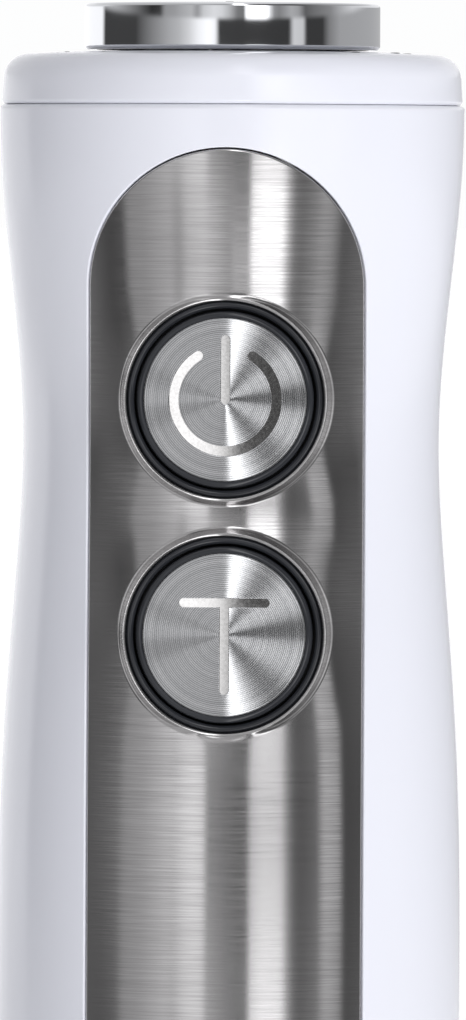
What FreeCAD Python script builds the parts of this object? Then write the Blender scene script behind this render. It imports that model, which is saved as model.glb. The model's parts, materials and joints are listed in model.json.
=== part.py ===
"""Immersion blender: a motor handle with a speed dial and two push buttons, on a detachable steel foot.

Millimetres. +Z is up along the drive axis, the buttons face -Y, and the origin is the centre of the bell's
rim, on which the blender stands. Each function makes one sub-part, and main() writes them all.
"""
import FreeCAD, Part
import math
import os

from FreeCAD import Vector

# ---------------------------------------------------------------- driving dimensions
RIM_Z = 178.0            # underside of the handle, where the foot ends
HOUSING_Z = 186.0        # lowest edge of the white housing, above the trim ring
SEAM_Z = 378.0           # seam between the housing and its top cap
CAP_Z = 384.6            # top of the cap beside the dial
DIAL_Z = 390.8           # top of the dial
CAP_R = 28.75
DIAL_R = 18.45
WALL = 2.2               # plastic wall of the housing

# outer radius of the handle at each height: a waist at the grip, full over the motor
HANDLE_PROFILE = [
    (26.0, HOUSING_Z), (27.6, 206.0), (28.6, 232.0), (28.9, 262.0), (28.4, 297.4),
    (26.8, 319.9), (26.0, 337.0), (27.2, 353.7), (28.7, 368.7), (29.0, 377.3),
]
# outer radius of the foot's tube, from the bell's neck up to the handle
TUBE_PROFILE = [
    (18.2, 46.0), (15.2, 58.0), (13.9, 82.0), (14.4, 118.0), (16.6, 145.0), (20.6, 165.0), (24.7, 177.6),
]
SHEET = 0.8              # steel of the foot

# front panel and buttons
PANEL_HALF = 17.0
PANEL_LOW_Z = 205.0
PANEL_TOP_Z = 372.5
PANEL_SHEET = 0.65
POWER_Z = 341.8
TURBO_Z = 313.0
POWER_RIM_Y = -27.4      # plane of the raised lip round each button
TURBO_RIM_Y = -28.0
LIP_R = 12.05
LIP_WALL = 0.7
BEZEL_IN_R = 11.15
BUTTON_R = 10.85
DISC_R = 10.0
STEM_R = 3.0
BUTTON_TRAVEL = 1.5
BOARD_Y = -10.6          # front face of the control board
BOARD_T = 1.6
BOARD_BACK_Y = BOARD_Y + BOARD_T
BOARD_SCREWS_XZ = [(14.0, 307.0), (-14.0, 307.0), (14.0, 354.0), (-14.0, 354.0)]

# latch and socket
PLUG_R = 19.0            # the foot's plastic plug inside the handle
SLEEVE_IN_R = 19.35
SLEEVE_OUT_R = 21.2
LATCH_Z = 196.0
RELEASE_HALF_W = 6.5
RELEASE_HALF_H = 8.5
RELEASE_PROUD = 0.9      # how far the release buttons stand out of the housing
RIDGE_R = 0.45
SPLINE_ANGLES = (45, 135, 225, 315)   # keys that stop the foot turning in the sleeve
HOOK_ANGLES = (90, 270)

# drive train
SHAFT_R = 3.0
RUNNING = 0.03           # radial clearance of a shaft in its bush
STATOR_LOW_Z = 230.0
STATOR_TOP_Z = 262.0
STATOR_R = 23.5
ARMATURE_R = 12.9
AIR_GAP = 0.5

POST_R = 20.8            # circle of the motor's four screws
POST_ANGLES = (25, 155, 205, 335)

CORD_R = 3.4             # bore of the grommet, for a round mains lead
CORD_Z = 364.0
INLET_R = 7.2
CLAMP_X = 6.5            # the cord clamp's screws, either side of the lead

VENTS = 6                # cooling slots in each of the two columns
VENT_PITCH = 5.2
VENT_LOW_Z = 218.0
VENT_TURN = 24           # the columns' angle from the middle of the back

COIL_MIDDLES = (48, 132, 228, 312)

Z_AXIS = Vector(0, 0, 1)
ORIGIN = Vector(0, 0, 0)
SCREW_SEAT_Y = -21.4
SCREWS_XZ = [(11.0, 362.0), (-11.0, 362.0), (11.0, 300.0), (-11.0, 300.0), (10.0, 211.5), (-10.0, 211.5)]
BUTTONS = [("power", POWER_Z, POWER_RIM_Y), ("turbo", TURBO_Z, TURBO_RIM_Y)]


# ---------------------------------------------------------------- small helpers
def rz(point):
    """A profile point (radius, height) in the XZ plane."""
    return Vector(point[0], 0, point[1])


def outline(start, *steps):
    """A closed profile in the XZ plane; a step is a point, ("arc", through, end) or ("spline", points)."""
    edges, here = [], rz(start)
    for step in steps:
        if step[0] == "arc":
            edges.append(Part.Arc(here, rz(step[1]), rz(step[2])).toShape())
            here = rz(step[2])
        elif step[0] == "spline":
            curve = Part.BSplineCurve()
            curve.interpolate([rz(p) for p in step[1]])
            edges.append(curve.toShape())
            here = rz(step[1][-1])
        else:
            edges.append(Part.LineSegment(here, rz(step)).toShape())
            here = rz(step)
    if here.distanceToPoint(rz(start)) > 1e-6:
        edges.append(Part.LineSegment(here, rz(start)).toShape())
    return Part.Wire(edges)


def turned(start, *steps):
    """The profile turned once round the Z axis."""
    return Part.Face(outline(start, *steps)).revolve(ORIGIN, Z_AXIS, 360)


def cylinder(radius, low, high):
    return Part.makeCylinder(radius, high - low, Vector(0, 0, low))


def ring(inner, outer, low, high):
    return cylinder(outer, low, high).cut(cylinder(inner, low - 1, high + 1))


def cylinder_y(radius, y_front, y_back, x=0.0, z=0.0):
    """A cylinder along +Y, from y_front to y_back."""
    return Part.makeCylinder(radius, y_back - y_front, Vector(x, y_front, z), Vector(0, 1, 0))


def ring_y(inner, outer, y_front, y_back, z):
    return cylinder_y(outer, y_front, y_back, 0, z).cut(cylinder_y(inner, y_front - 1, y_back + 1, 0, z))


def box(x0, x1, y0, y1, z0, z1):
    return Part.makeBox(x1 - x0, y1 - y0, z1 - z0, Vector(x0, y0, z0))


def stadium_y(half, low, high, y_front, y_back, x=0.0):
    """An upright slot outline with round ends, extruded along Y."""
    body = box(x - half, x + half, y_front, y_back, low + half, high - half)
    ends = [cylinder_y(half, y_front, y_back, x, z) for z in (low + half, high - half)]
    return body.fuse(ends).removeSplitter()


def stadium_x(half, low, high, x0, x1):
    """The same outline extruded along X."""
    shape = stadium_y(half, low, high, x0, x1)
    shape.rotate(ORIGIN, Z_AXIS, -90)
    return shape


def polar(radius, degrees, z=0.0):
    """The point at a bearing round the Z axis."""
    return Vector(radius * math.cos(math.radians(degrees)), radius * math.sin(math.radians(degrees)), z)


def hexagon(corner_radius, z, height):
    """A six-sided bar along Z."""
    corners = [polar(corner_radius, 60 * k, z) for k in range(7)]
    return Part.Face(Part.makePolygon(corners)).extrude(Vector(0, 0, height))


def sector(low_degrees, high_degrees, steps=1):
    """A wedge round the Z axis between two bearings, tall and wide enough to trim any motor part."""
    span = (high_degrees - low_degrees) / steps
    rim = [polar(60, low_degrees + span * k) for k in range(steps + 1)]
    return Part.Face(Part.makePolygon([ORIGIN] + rim + [ORIGIN])).extrude(Vector(0, 0, 400))


def spun(shape, degrees):
    """A copy turned about the Z axis."""
    copy = shape.copy()
    copy.rotate(ORIGIN, Z_AXIS, degrees)
    return copy


def mirrored_x(shape):
    return shape.mirror(ORIGIN, Vector(1, 0, 0))


def offset_points(points, amount):
    return [(r + amount, z) for r, z in points]


def handle_curve(amount=0.0):
    """The housing's outer profile, offset by an amount, as one curve."""
    curve = Part.BSplineCurve()
    curve.interpolate([rz(p) for p in offset_points(HANDLE_PROFILE, amount)])
    return curve


def handle_radius(z):
    """Outer radius of the housing at a height, by bisection along its profile curve."""
    curve = handle_curve()
    low, high = curve.FirstParameter, curve.LastParameter
    for _ in range(50):
        middle = (low + high) / 2
        if curve.value(middle).z < z:
            low = middle
        else:
            high = middle
    return curve.value(low).x


def handle_band(inner, outer):
    """The turned band between two offsets of the housing's outer surface."""
    inside = offset_points(HANDLE_PROFILE, inner)
    outside = offset_points(HANDLE_PROFILE, outer)
    return turned(inside[0], outside[0], ("spline", outside), inside[-1], ("spline", inside[::-1]))


def handle_core(amount):
    """Everything inside an offset of the housing's outer surface, as one solid."""
    outside = offset_points(HANDLE_PROFILE, amount)
    return turned((0, outside[0][1]), outside[0], ("spline", outside), (0, outside[-1][1]))


def coil(radius, wire, low, high, turns):
    """A helical compression spring along +Z, swept along a smooth curve through sixteen points a turn."""
    steps = 16 * turns
    rise = high - low - 2 * wire
    route = []
    for k in range(steps + 1):
        angle = 2 * math.pi * k / 16
        height = low + wire + rise * k / steps
        route.append(Vector(radius * math.cos(angle), radius * math.sin(angle), height))
    centre_line = Part.BSplineCurve()
    centre_line.interpolate(route)
    along = centre_line.tangent(centre_line.FirstParameter)[0]
    section = Part.Wire(Part.makeCircle(wire, route[0], along))
    return Part.Wire(centre_line.toShape()).makePipeShell([section], True, False)


def group(solids):
    """Several separate solids that count as one sub-part."""
    return Part.makeCompound(solids)


def screw(head_r, head_h, shank_r, length):
    """A pan head screw pointing down -Z, its head's underside at the origin, with a cross recess."""
    head = cylinder(head_r, 0, head_h)
    head = head.makeFillet(head_h * 0.45, [e for e in head.Edges if abs(e.CenterOfMass.z - head_h) < 0.01])
    made = head.fuse(cylinder(shank_r, -length, 0.0)).removeSplitter()
    for turn in (0, 90):
        slot = box(-head_r * 0.55, head_r * 0.55, -0.25, 0.25, head_h * 0.45, head_h + 1)
        made = made.cut(spun(slot, turn))
    return made


def along_y(shape, x, y, z):
    """Turns a piece made along -Z so that it points along +Y, and puts its origin at a point."""
    copy = shape.copy()
    copy.rotate(ORIGIN, Vector(1, 0, 0), 90)
    copy.translate(Vector(x, y, z))
    return copy


# ---------------------------------------------------------------- the foot
def bell_guard():
    """Pressed steel bell with a rolled rim and four arched windows."""
    outside = [(31.9, 3.0), (31.2, 17.0), (27.0, 31.0), (21.4, 40.0), (18.2, 46.0)]
    inside = offset_points(outside, -SHEET)
    rim = ("arc", (32.9, 1.3), (31.9, 3.0))
    shell = turned((30.9, 0.0), (32.0, 0.0), rim, ("spline", outside), inside[-1], ("spline", inside[::-1]),
                   ("arc", (30.2, 1.3), (30.9, 0.0)))
    window = stadium_y(5.5, 0, 14.5, 20, 40)
    window = window.common(box(-9, 9, 19, 41, 5.5, 20)).fuse(box(-5.5, 5.5, 20, 40, 5.5, 8))
    window.translate(Vector(0, 0, 1.5))
    for turn in range(0, 360, 90):
        shell = shell.cut(spun(window, turn))
    return shell.removeSplitter()


def foot_tube():
    """Drawn steel tube that flares up to the handle."""
    inside = offset_points(TUBE_PROFILE, -SHEET)
    lip = (TUBE_PROFILE[-1][0] - 0.4, TUBE_PROFILE[-1][1] + 0.1)
    return turned(TUBE_PROFILE[0], ("spline", TUBE_PROFILE), lip, (inside[-1][0], lip[1]),
                  inside[-1], ("spline", inside[::-1]))


def foot_core():
    """Plastic core that carries the bushes and closes the bell, with the plug that enters the handle."""
    core = turned(
        (5.0, 22.0), (8.5, 22.0), (8.5, 26.0), (15.6, 41.5), (15.6, 45.0), (12.6, 49.0), (12.6, 150.0),
        (15.2, 160.0), (19.0, 171.0), (23.2, 176.4), (23.2, 177.4), (PLUG_R, 177.4), (PLUG_R, 193.2),
        (17.6, 193.2), (17.6, 198.4), (PLUG_R, 198.4), (PLUG_R, 203.4), (18.2, 204.2), (9.4, 204.2),
        (9.4, 186.0), (5.0, 186.0), (5.0, 34.0), (5.0, 26.0))
    for turn in SPLINE_ANGLES:
        core = core.cut(spun(box(17.2, 21.0, -1.5, 1.5, 199.5, 210.0), turn))
    return core


def tube_seal():
    """O-ring between the plastic core and the steel neck."""
    return Part.makeTorus(16.55, 0.6, Vector(0, 0, 43.2))


def bush(low, high):
    """Bronze bush for the blade shaft."""
    return ring(SHAFT_R + RUNNING, 5.0, low, high)


def shaft_seal():
    """Rubber lip seal at the core's lower mouth."""
    return turned((3.1, 16.4), (3.7, 16.4), (4.2, 18.6), (7.2, 18.6), (7.2, 21.9), (4.0, 21.9), (3.8, 19.6),
                  (3.1, 17.4))


def blade_shaft():
    """Steel drive shaft, stepped for the blade, with a milled flat for the coupling."""
    shaft = turned((0, 9.0), (1.6, 9.0), (2.0, 9.4), (2.0, 14.4), (SHAFT_R, 14.4), (SHAFT_R, 196.6),
                   (2.6, 197.0), (0, 197.0))
    return shaft.cut(box(2.4, 4.0, -4, 4, 190.0, 203.0))


def blade():
    """Two-winged blade, one wing bent up and the other down, with ground leading edges."""
    hub = ring(2.05, 6.2, 13.0, 14.4)

    def wing(tilt):
        edge_in = Vector(3.0, -4.3, 0)
        tip_low, tip_high = Vector(20.5, -1.8, 0), Vector(21.6, 2.0, 0)
        edge_out = Vector(3.0, 4.3, 0)
        wire = Part.Wire([
            Part.Arc(edge_in, Vector(12.5, -4.6, 0), tip_low).toShape(),
            Part.LineSegment(tip_low, tip_high).toShape(),
            Part.Arc(tip_high, Vector(12.0, 4.6, 0), edge_out).toShape(),
            Part.LineSegment(edge_out, edge_in).toShape(),
        ])
        plate = Part.Face(wire).extrude(Vector(0, 0, 1.4))
        grind = box(4.5, 30, -12, 0, 0, 4)
        grind.rotate(Vector(0, -3.4, 0.5), Vector(1, 0, 0), 24)
        grind.translate(Vector(0, -3.0, 0.5))
        plate = plate.cut(grind)
        plate.rotate(Vector(4.5, 0, 0.7), Vector(0, 1, 0), -tilt)
        plate.translate(Vector(0, 0, 13.0))
        return plate.cut(cylinder(5.6, 0, 40))

    rising = wing(14.0)
    falling = spun(wing(-9.0), 180)
    made = hub.fuse([rising, falling])
    return made.cut(cylinder(2.05, 0, 30)).removeSplitter()


def blade_nut():
    """Domed nut that holds the blade on the shaft's lower end."""
    dome = Part.makeSphere(4.6, Vector(0, 0, 12.6))
    shape = hexagon(3.6, 9.6, 3.4).common(dome).fuse(cylinder(3.0, 8.2, 9.8)).cut(cylinder(2.02, 8.9, 14))
    return shape.removeSplitter()


def blade_spacer():
    """Thrust collar between the blade and the seal, fast on the shaft."""
    return turned((SHAFT_R, 14.7), (4.6, 14.7), (5.0, 15.1), (5.0, 15.8), (4.6, 16.2), (SHAFT_R, 16.2))


def foot_coupling():
    """Driven half of the coupling, a cup with a six-lobed socket, fast on the blade shaft."""
    cup = turned((SHAFT_R, 190.5), (7.6, 190.5), (8.6, 191.5), (8.6, 203.6), (7.9, 204.0), (0, 204.0),
                 (0, 201.8), (SHAFT_R, 201.8))
    socket = cylinder(4.6, 197.2, 206.0)
    for turn in range(0, 360, 60):
        socket = socket.fuse(spun(Part.makeCylinder(1.7, 9, Vector(4.9, 0, 197.2)), turn))
    cup = cup.cut(socket).cut(cylinder(SHAFT_R, 188, 197.2))
    return cup.fuse(box(2.4, SHAFT_R, -1.7, 1.7, 191.0, 197.2)).removeSplitter()


# ---------------------------------------------------------------- the handle's outside
def housing():
    """Both housing shells as one tube: the shells are cut from it."""
    outside = HANDLE_PROFILE
    inside = offset_points(outside, -WALL)
    edge = ("arc", (28.8, SEAM_Z - 0.2), (28.3, SEAM_Z))
    return turned(inside[0], outside[0], ("spline", outside), edge, (26.8, SEAM_Z), inside[-1],
                  ("spline", inside[::-1]))


def parting_groove():
    """Fine line where the front and rear shells meet."""
    slab = box(-40, 40, -0.12, 0.12, 180, 380)
    return handle_band(-0.3, 3.0).common(slab)


def release_window(grow):
    """Opening for the release buttons, through both sides of the handle."""
    return stadium_x(RELEASE_HALF_W + grow, LATCH_Z - RELEASE_HALF_H - grow, LATCH_Z + RELEASE_HALF_H + grow,
                     -40, 40)


def housing_front(tube, groove):
    """Front shell: panel recess, button openings, screw bosses and posts for the control board."""
    shell = tube.common(box(-40, 40, -40, 0, 180, 380)).cut(groove)
    recess = handle_band(-0.8, 3.0).common(
        stadium_y(PANEL_HALF + 0.18, PANEL_LOW_Z - 0.18, PANEL_TOP_Z + 0.18, -40, 0))
    shell = shell.cut(recess).cut(release_window(0.15))
    for _, z, _ in BUTTONS:
        shell = shell.cut(cylinder_y(LIP_R + LIP_WALL + 0.2, -40, 0, 0, z))
    inner = handle_core(-0.85).common(box(-40, 40, -40, 0, 180, 380))
    for x, z in SCREWS_XZ:
        post = cylinder_y(3.1, -28, -0.05, x, z).common(inner)
        shell = shell.fuse(post)
        shell = shell.cut(cylinder_y(1.6, -40, 1, x, z)).cut(cylinder_y(2.9, -40, SCREW_SEAT_Y, x, z))
    for x, z in BOARD_SCREWS_XZ:
        shell = shell.fuse(cylinder_y(1.9, -28, BOARD_Y, x, z).common(inner))
    shell = shell.cut(cylinder(7.0, 200, 220))
    return shell.removeSplitter()


def housing_rear(tube, groove):
    """Rear shell: cord inlet, cooling slots and the bosses that take the screws."""
    shell = tube.common(box(-40, 40, 0, 40, 180, 380)).cut(groove).cut(release_window(0.15))
    inlet = cylinder_y(INLET_R, 24.1, 31.4, 0, CORD_Z)
    inlet = inlet.makeFillet(0.9, [e for e in inlet.Edges if abs(e.CenterOfMass.y - 31.4) < 0.01])
    shell = shell.fuse(inlet).cut(cylinder_y(5.4, 15, 40, 0, CORD_Z))
    inner = handle_core(-0.85).common(box(-40, 40, 0, 40, 180, 380))
    for x, z in SCREWS_XZ:
        post = cylinder_y(3.1, 0.05, 30, x, z).common(inner)
        shell = shell.fuse(post).cut(cylinder_y(1.2, -1, 12, x, z))
    for k in range(VENTS):
        slot = stadium_y(1.1, -9.5, 9.5, 15, 40)
        slot.rotate(ORIGIN, Vector(0, 1, 0), 90)
        slot.translate(Vector(0, 0, VENT_LOW_Z + VENT_PITCH * k))
        for turn in (-VENT_TURN, VENT_TURN):
            shell = shell.cut(spun(slot, turn))
    shell = shell.cut(cylinder(7.0, 200, 220))
    return shell.fuse(clamp_posts().common(handle_core(0.4 - WALL))).removeSplitter()


def top_cap():
    """Round cap that closes the housing and carries the speed dial."""
    low = SEAM_Z + 0.05
    cap = turned(
        (3.65, 380.0), (10.0, 380.0), (10.0, 382.3), (23.6, 382.3), (25.0, 380.2), (25.0, 374.0),
        (26.6, 374.0), (26.6, low), (CAP_R - 0.3, low), (CAP_R, low + 0.45), (CAP_R - 0.2, 381.0),
        ("arc", (27.6, 383.3), (25.2, CAP_Z - 0.3)), (19.2, CAP_Z), (3.65, CAP_Z))
    nut_well = cylinder(8.2, 381.8, 386.0)
    return cap.cut(nut_well)


def front_panel():
    """Stainless fascia let into the front shell, with a raised lip round each button."""
    sheet = handle_band(-0.05 - PANEL_SHEET, -0.05).common(
        stadium_y(PANEL_HALF, PANEL_LOW_Z, PANEL_TOP_Z, -40, 0))
    for _, z, rim_y in BUTTONS:
        sheet = sheet.fuse(cylinder_y(LIP_R + LIP_WALL, rim_y, -20.6, 0, z))
    for _, z, rim_y in BUTTONS:
        sheet = sheet.cut(cylinder_y(LIP_R, -40, 0, 0, z))
    return sheet.removeSplitter()


def trim_ring():
    """Brushed steel ring round the handle's lower edge."""
    top = HOUSING_Z - 0.1
    return turned((24.3, RIM_Z + 0.2), (24.6, RIM_Z), (25.1, RIM_Z), (25.4, RIM_Z + 0.3),
                  (25.95, top - 0.3), (25.7, top), (24.3, top))


def socket_sleeve():
    """Plastic sleeve inside the handle that guides the foot's plug, windowed for the latch hooks."""
    sleeve = turned((SLEEVE_IN_R, 178.3), (24.2, 178.3), (24.2, 180.3), (SLEEVE_OUT_R, 180.3),
                    (SLEEVE_OUT_R, 209.0), (9.0, 209.0), (9.0, 207.0), (SLEEVE_IN_R, 207.0))
    sleeve = sleeve.fuse([spun(box(17.6, 20.0, -1.2, 1.2, 200.2, 207.5), t) for t in SPLINE_ANGLES])
    for turn in HOOK_ANGLES:
        sleeve = sleeve.cut(spun(box(15, 25, -4.5, 4.5, 193.0, 199.5), turn))
    for x, z in SCREWS_XZ[-2:]:
        sleeve = sleeve.cut(cylinder_y(3.4, -30, 30, x, z))
    return sleeve.removeSplitter()


def latch_ring():
    """Springy oval latch round the sleeve: squeezing its sides draws its two hooks out of the plug."""
    made = ring(21.6, 22.7, 193.6, 198.0)
    for turn in HOOK_ANGLES:
        hook = box(18.1, 22.0, -3.2, 3.2, 193.9, 197.6)
        ramp = box(17.0, 21.0, -4, 4, -4.0, 0.0)
        ramp.rotate(Vector(18.1, 0, 0), Vector(0, 1, 0), 35)
        ramp.translate(Vector(0, 0, 194.6))
        made = made.fuse(spun(hook.cut(ramp), turn))
    return made.removeSplitter()


def release_button():
    """Right-hand release button: an oval cap with a retaining flange behind the housing wall."""
    cap = stadium_x(RELEASE_HALF_W, LATCH_Z - RELEASE_HALF_H, LATCH_Z + RELEASE_HALF_H, 0, 40)
    flange_back = -WALL - 0.8
    cap = cap.common(handle_band(flange_back, RELEASE_PROUD))
    flange = stadium_x(RELEASE_HALF_W + 1.5, LATCH_Z - RELEASE_HALF_H - 0.8, LATCH_Z + RELEASE_HALF_H + 1.5,
                       0, 40)
    made = cap.fuse(flange.common(handle_band(flange_back, -WALL - 0.1)))
    for k in range(4):
        ridge = cylinder_y(RIDGE_R, -4.2, 4.2)
        z = LATCH_Z - 4.5 + 3.0 * k
        ridge.translate(Vector(handle_radius(z) + RELEASE_PROUD + 0.05, 0, z))
        made = made.fuse(ridge)
    return made.removeSplitter()


# ---------------------------------------------------------------- dial
def speed_dial():
    """Chromed cap of the speed dial, with a pointer notch."""
    low = CAP_Z + 0.25
    inside = DIAL_R - 1.45
    shell = turned(
        (DIAL_R - 0.4, low), (DIAL_R, low + 0.4), (DIAL_R, DIAL_Z - 1.6),
        ("arc", (18.0, DIAL_Z - 0.65), (17.0, DIAL_Z - 0.2)), ("arc", (9.0, DIAL_Z - 0.03), (0.0, DIAL_Z)),
        (0.0, DIAL_Z - 1.4), (inside, DIAL_Z - 1.7), (inside, low))
    pointer = box(-0.6, 0.6, -16.2, -10.0, DIAL_Z - 0.5, DIAL_Z + 1)
    return shell.cut(pointer)


def dial_hub():
    """Plastic hub that joins the chromed cap to the potentiometer's shaft."""
    low = CAP_Z + 0.35
    hub = turned((3.05, low + 0.6), (6.4, low + 0.6), (6.4, DIAL_Z - 2.6), (16.9, DIAL_Z - 2.6),
                 (16.9, DIAL_Z - 1.75), (0.0, DIAL_Z - 1.5), (0.0, DIAL_Z - 2.6), (3.05, DIAL_Z - 2.6))
    ribs = [spun(box(6.0, 16.9, -0.5, 0.5, DIAL_Z - 4.2, DIAL_Z - 2.0), 60 * k) for k in range(6)]
    hub = hub.fuse(ribs).cut(cylinder(3.05, 380, DIAL_Z - 2.6))
    return hub.removeSplitter()


def potentiometer_shaft():
    """Turning shaft of the potentiometer."""
    return cylinder(3.0, 374.2, DIAL_Z - 2.7)


def speed_potentiometer():
    """Potentiometer can, bushing and three tags, under the cap."""
    can = cylinder(8.0, 372.6, 379.4)
    body = can.fuse(cylinder(3.55, 379.0, 384.2)).cut(cylinder(3.15, 374.0, 386))
    tags = [box(x - 0.6, x + 0.6, -11.4, -7.0, 374.8, 375.4) for x in (-4.0, 0.0, 4.0)]
    return body.fuse(tags).removeSplitter()


def potentiometer_nut():
    """Hexagon nut that holds the potentiometer in the cap."""
    return hexagon(6.4, 381.8, 2.0).cut(cylinder(3.6, 380, 386))


# ---------------------------------------------------------------- buttons
def button_bezels():
    """Black collars pressed into the panel's lips, each with a back plate that guides a button's stem."""
    made = []
    for _, z, rim_y in BUTTONS:
        collar = ring_y(BEZEL_IN_R, LIP_R, rim_y + 0.8, rim_y + 8.0, z)
        plate = ring_y(STEM_R + 0.3, LIP_R, rim_y + 7.2, rim_y + 8.6, z)
        made.append(collar.fuse(plate).removeSplitter())
    return group(made)


def button_body(z, rim_y):
    """Black button under the metal disc, with the stem that works the switch."""
    front = rim_y - 0.1
    body = cylinder_y(BUTTON_R, front, rim_y + 3.4, 0, z)
    body = body.makeFillet(0.55, [e for e in body.Edges if abs(e.CenterOfMass.y - front) < 0.01])
    body = body.cut(cylinder_y(DISC_R + 0.02, front - 1, rim_y + 0.6, 0, z))
    stem = cylinder_y(STEM_R, rim_y + 3.0, -16.6, 0, z).fuse(cylinder_y(1.9, -17.0, -12.8, 0, z))
    return body.fuse(stem).removeSplitter()


def button_disc(z, rim_y, marks):
    """Turned metal disc with its mark sunk into the face."""
    face = rim_y - 0.4
    disc = cylinder_y(DISC_R, face, rim_y + 0.6, 0, z)
    disc = disc.makeChamfer(0.25, [e for e in disc.Edges if abs(e.CenterOfMass.y - face) < 0.01])
    for mark in marks:
        cutter = mark.copy()
        cutter.translate(Vector(0, face - 0.75, z))
        disc = disc.cut(cutter)
    return disc


def power_marks():
    """Standby sign: an open ring with round ends and an upright bar, as cutters one millimetre deep."""
    inner, outer = 5.7, 6.9
    gap = math.radians(31.8)

    def at(radius, angle):
        return Vector(radius * math.sin(angle), 0, radius * math.cos(angle))

    def round_end(side):
        reach = Vector(-side * math.cos(gap), 0, math.sin(gap)) * ((outer - inner) / 2)
        return at((inner + outer) / 2, side * gap) + reach

    open_ring = Part.Wire([
        Part.Arc(at(outer, gap), at(outer, math.pi), at(outer, -gap)).toShape(),
        Part.Arc(at(outer, -gap), round_end(-1), at(inner, -gap)).toShape(),
        Part.Arc(at(inner, -gap), at(inner, math.pi), at(inner, gap)).toShape(),
        Part.Arc(at(inner, gap), round_end(1), at(outer, gap)).toShape(),
    ])
    return [Part.Face(open_ring).extrude(Vector(0, 1, 0)), stadium_y(0.55, -0.55, 7.9, 0, 1)]


def turbo_marks():
    """Plain T: two crossing grooves."""
    bar = stadium_y(0.55, -5.5, 5.5, 0, 1)
    bar.rotate(ORIGIN, Vector(0, 1, 0), 90)
    bar.translate(Vector(0, 0, 3.95))
    return [bar.fuse(stadium_y(0.57, -7.4, 4.0, 0, 1))]


def button_spring(z, rim_y):
    """Return spring behind a button, along Y."""
    spring = coil(5.5, 0.35, 0.05, 3.7, 3)
    spring.rotate(ORIGIN, Vector(1, 0, 0), -90)
    spring.translate(Vector(0, rim_y + 3.45, z))
    return spring


# ---------------------------------------------------------------- electrics
def control_board():
    """Circuit board behind the buttons, drilled for its four screws."""
    board = box(-16, 16, BOARD_Y, BOARD_BACK_Y, 303.5, 357.5)
    for x, z in BOARD_SCREWS_XZ:
        board = board.cut(cylinder_y(1.3, -20, 0, x, z))
    return board


def board_screws():
    """Four short screws whose heads rest on the back of the board."""
    made = []
    for x, z in BOARD_SCREWS_XZ:
        one = screw(2.2, 1.4, 1.2, BOARD_T - 0.05)
        one.rotate(ORIGIN, Vector(1, 0, 0), -90)
        one.translate(Vector(x, BOARD_BACK_Y, z))
        made.append(one)
    return group(made)


def button_switches():
    """Two push switches on the board, each with a blind hole that takes the button's plunger."""
    made = []
    for _, z, _ in BUTTONS:
        body = box(-6, 6, -14.8, BOARD_Y, z - 6, z + 6)
        made.append(body.cut(cylinder_y(2.1, -20, -10.9, 0, z)))
    return group(made)


def heat_sink():
    """Finned aluminium plate behind the board."""
    back = BOARD_BACK_Y
    plate = box(-11, 11, back + 5.0, back + 7.0, 306, 330)
    fins = [box(3.5 * k - 11, 3.5 * k - 10, back + 6.5, back + 14.0, 306, 330) for k in range(7)]
    feet = [box(x, x + 2, back, back + 5.5, 306, 309) for x in (-11, 9)]
    return plate.fuse(fins + feet).removeSplitter()


def triac():
    """Power switch of the speed control, standing on three legs against the heat sink."""
    back = BOARD_BACK_Y
    body = box(-5, 5, back + 0.6, back + 5.0, 312, 327)
    legs = [box(x - 0.4, x + 0.4, back, back + 1.2, 313, 314) for x in (-2.5, 0, 2.5)]
    return body.fuse(legs).removeSplitter()


def suppression_capacitor():
    """Box capacitor across the mains, with rounded top edges."""
    back = BOARD_BACK_Y
    body = box(-9, 9, back, back + 9.0, 334, 351)
    return body.makeFillet(1.0, [e for e in body.Edges if abs(e.CenterOfMass.y - back - 9.0) < 0.01])


def cord_grommet():
    """Rubber grommet in the rear inlet, bored for a round mains lead."""
    sleeve = ring_y(CORD_R, 5.35, 22.4, 32.4, CORD_Z)
    collar = ring_y(CORD_R, 6.6, 31.5, 32.6, CORD_Z)
    stop = ring_y(CORD_R, 6.4, 22.0, 24.0, CORD_Z)
    return sleeve.fuse([collar, stop]).removeSplitter()


def cord_clamp():
    """Bridge that grips the lead inside the rear shell."""
    bridge = box(-9, 9, 12.0, 17.0, CORD_Z + 3.6, CORD_Z + 6.4)
    for x in (-CLAMP_X, CLAMP_X):
        bridge = bridge.cut(Part.makeCylinder(1.5, 10, Vector(x, 14.5, CORD_Z)))
    return bridge


def clamp_posts():
    """Ledge of the rear shell that the cord clamp is screwed to."""
    ledge = box(-9, 9, 12.0, 26.0, CORD_Z - 7.0, CORD_Z - 3.6).cut(box(-5.4, 5.4, 19, 27, CORD_Z - 8, CORD_Z))
    made = ledge
    for x in (-CLAMP_X, CLAMP_X):
        made = made.fuse(box(x - 2.4, x + 2.4, 12.0, 17.0, CORD_Z - 4, CORD_Z + 3.6))
        made = made.cut(Part.makeCylinder(1.1, 12, Vector(x, 14.5, CORD_Z - 5)))
    return made


def clamp_screws():
    """Two screws that pull the clamp down on the lead."""
    made = []
    for x in (-CLAMP_X, CLAMP_X):
        one = screw(2.3, 1.5, 1.1, 8.0)
        one.translate(Vector(x, 14.5, CORD_Z + 6.4))
        made.append(one)
    return group(made)


def housing_screws():
    """Six screws that pull the shells together, hidden under the front panel."""
    return group([along_y(screw(2.7, 1.9, 1.2, 30.0), x, SCREW_SEAT_Y, z) for x, z in SCREWS_XZ])


# ---------------------------------------------------------------- motor
def coil_arcs(grow):
    """The four slots beside the two poles, as arc-shaped bars."""
    slot = ring(14.9 - grow, 19.6 + grow, STATOR_LOW_Z - 1, STATOR_TOP_Z + 1)
    half = 15 + grow * 3
    return [slot.common(sector(middle - half, middle + half)) for middle in COIL_MIDDLES]


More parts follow.
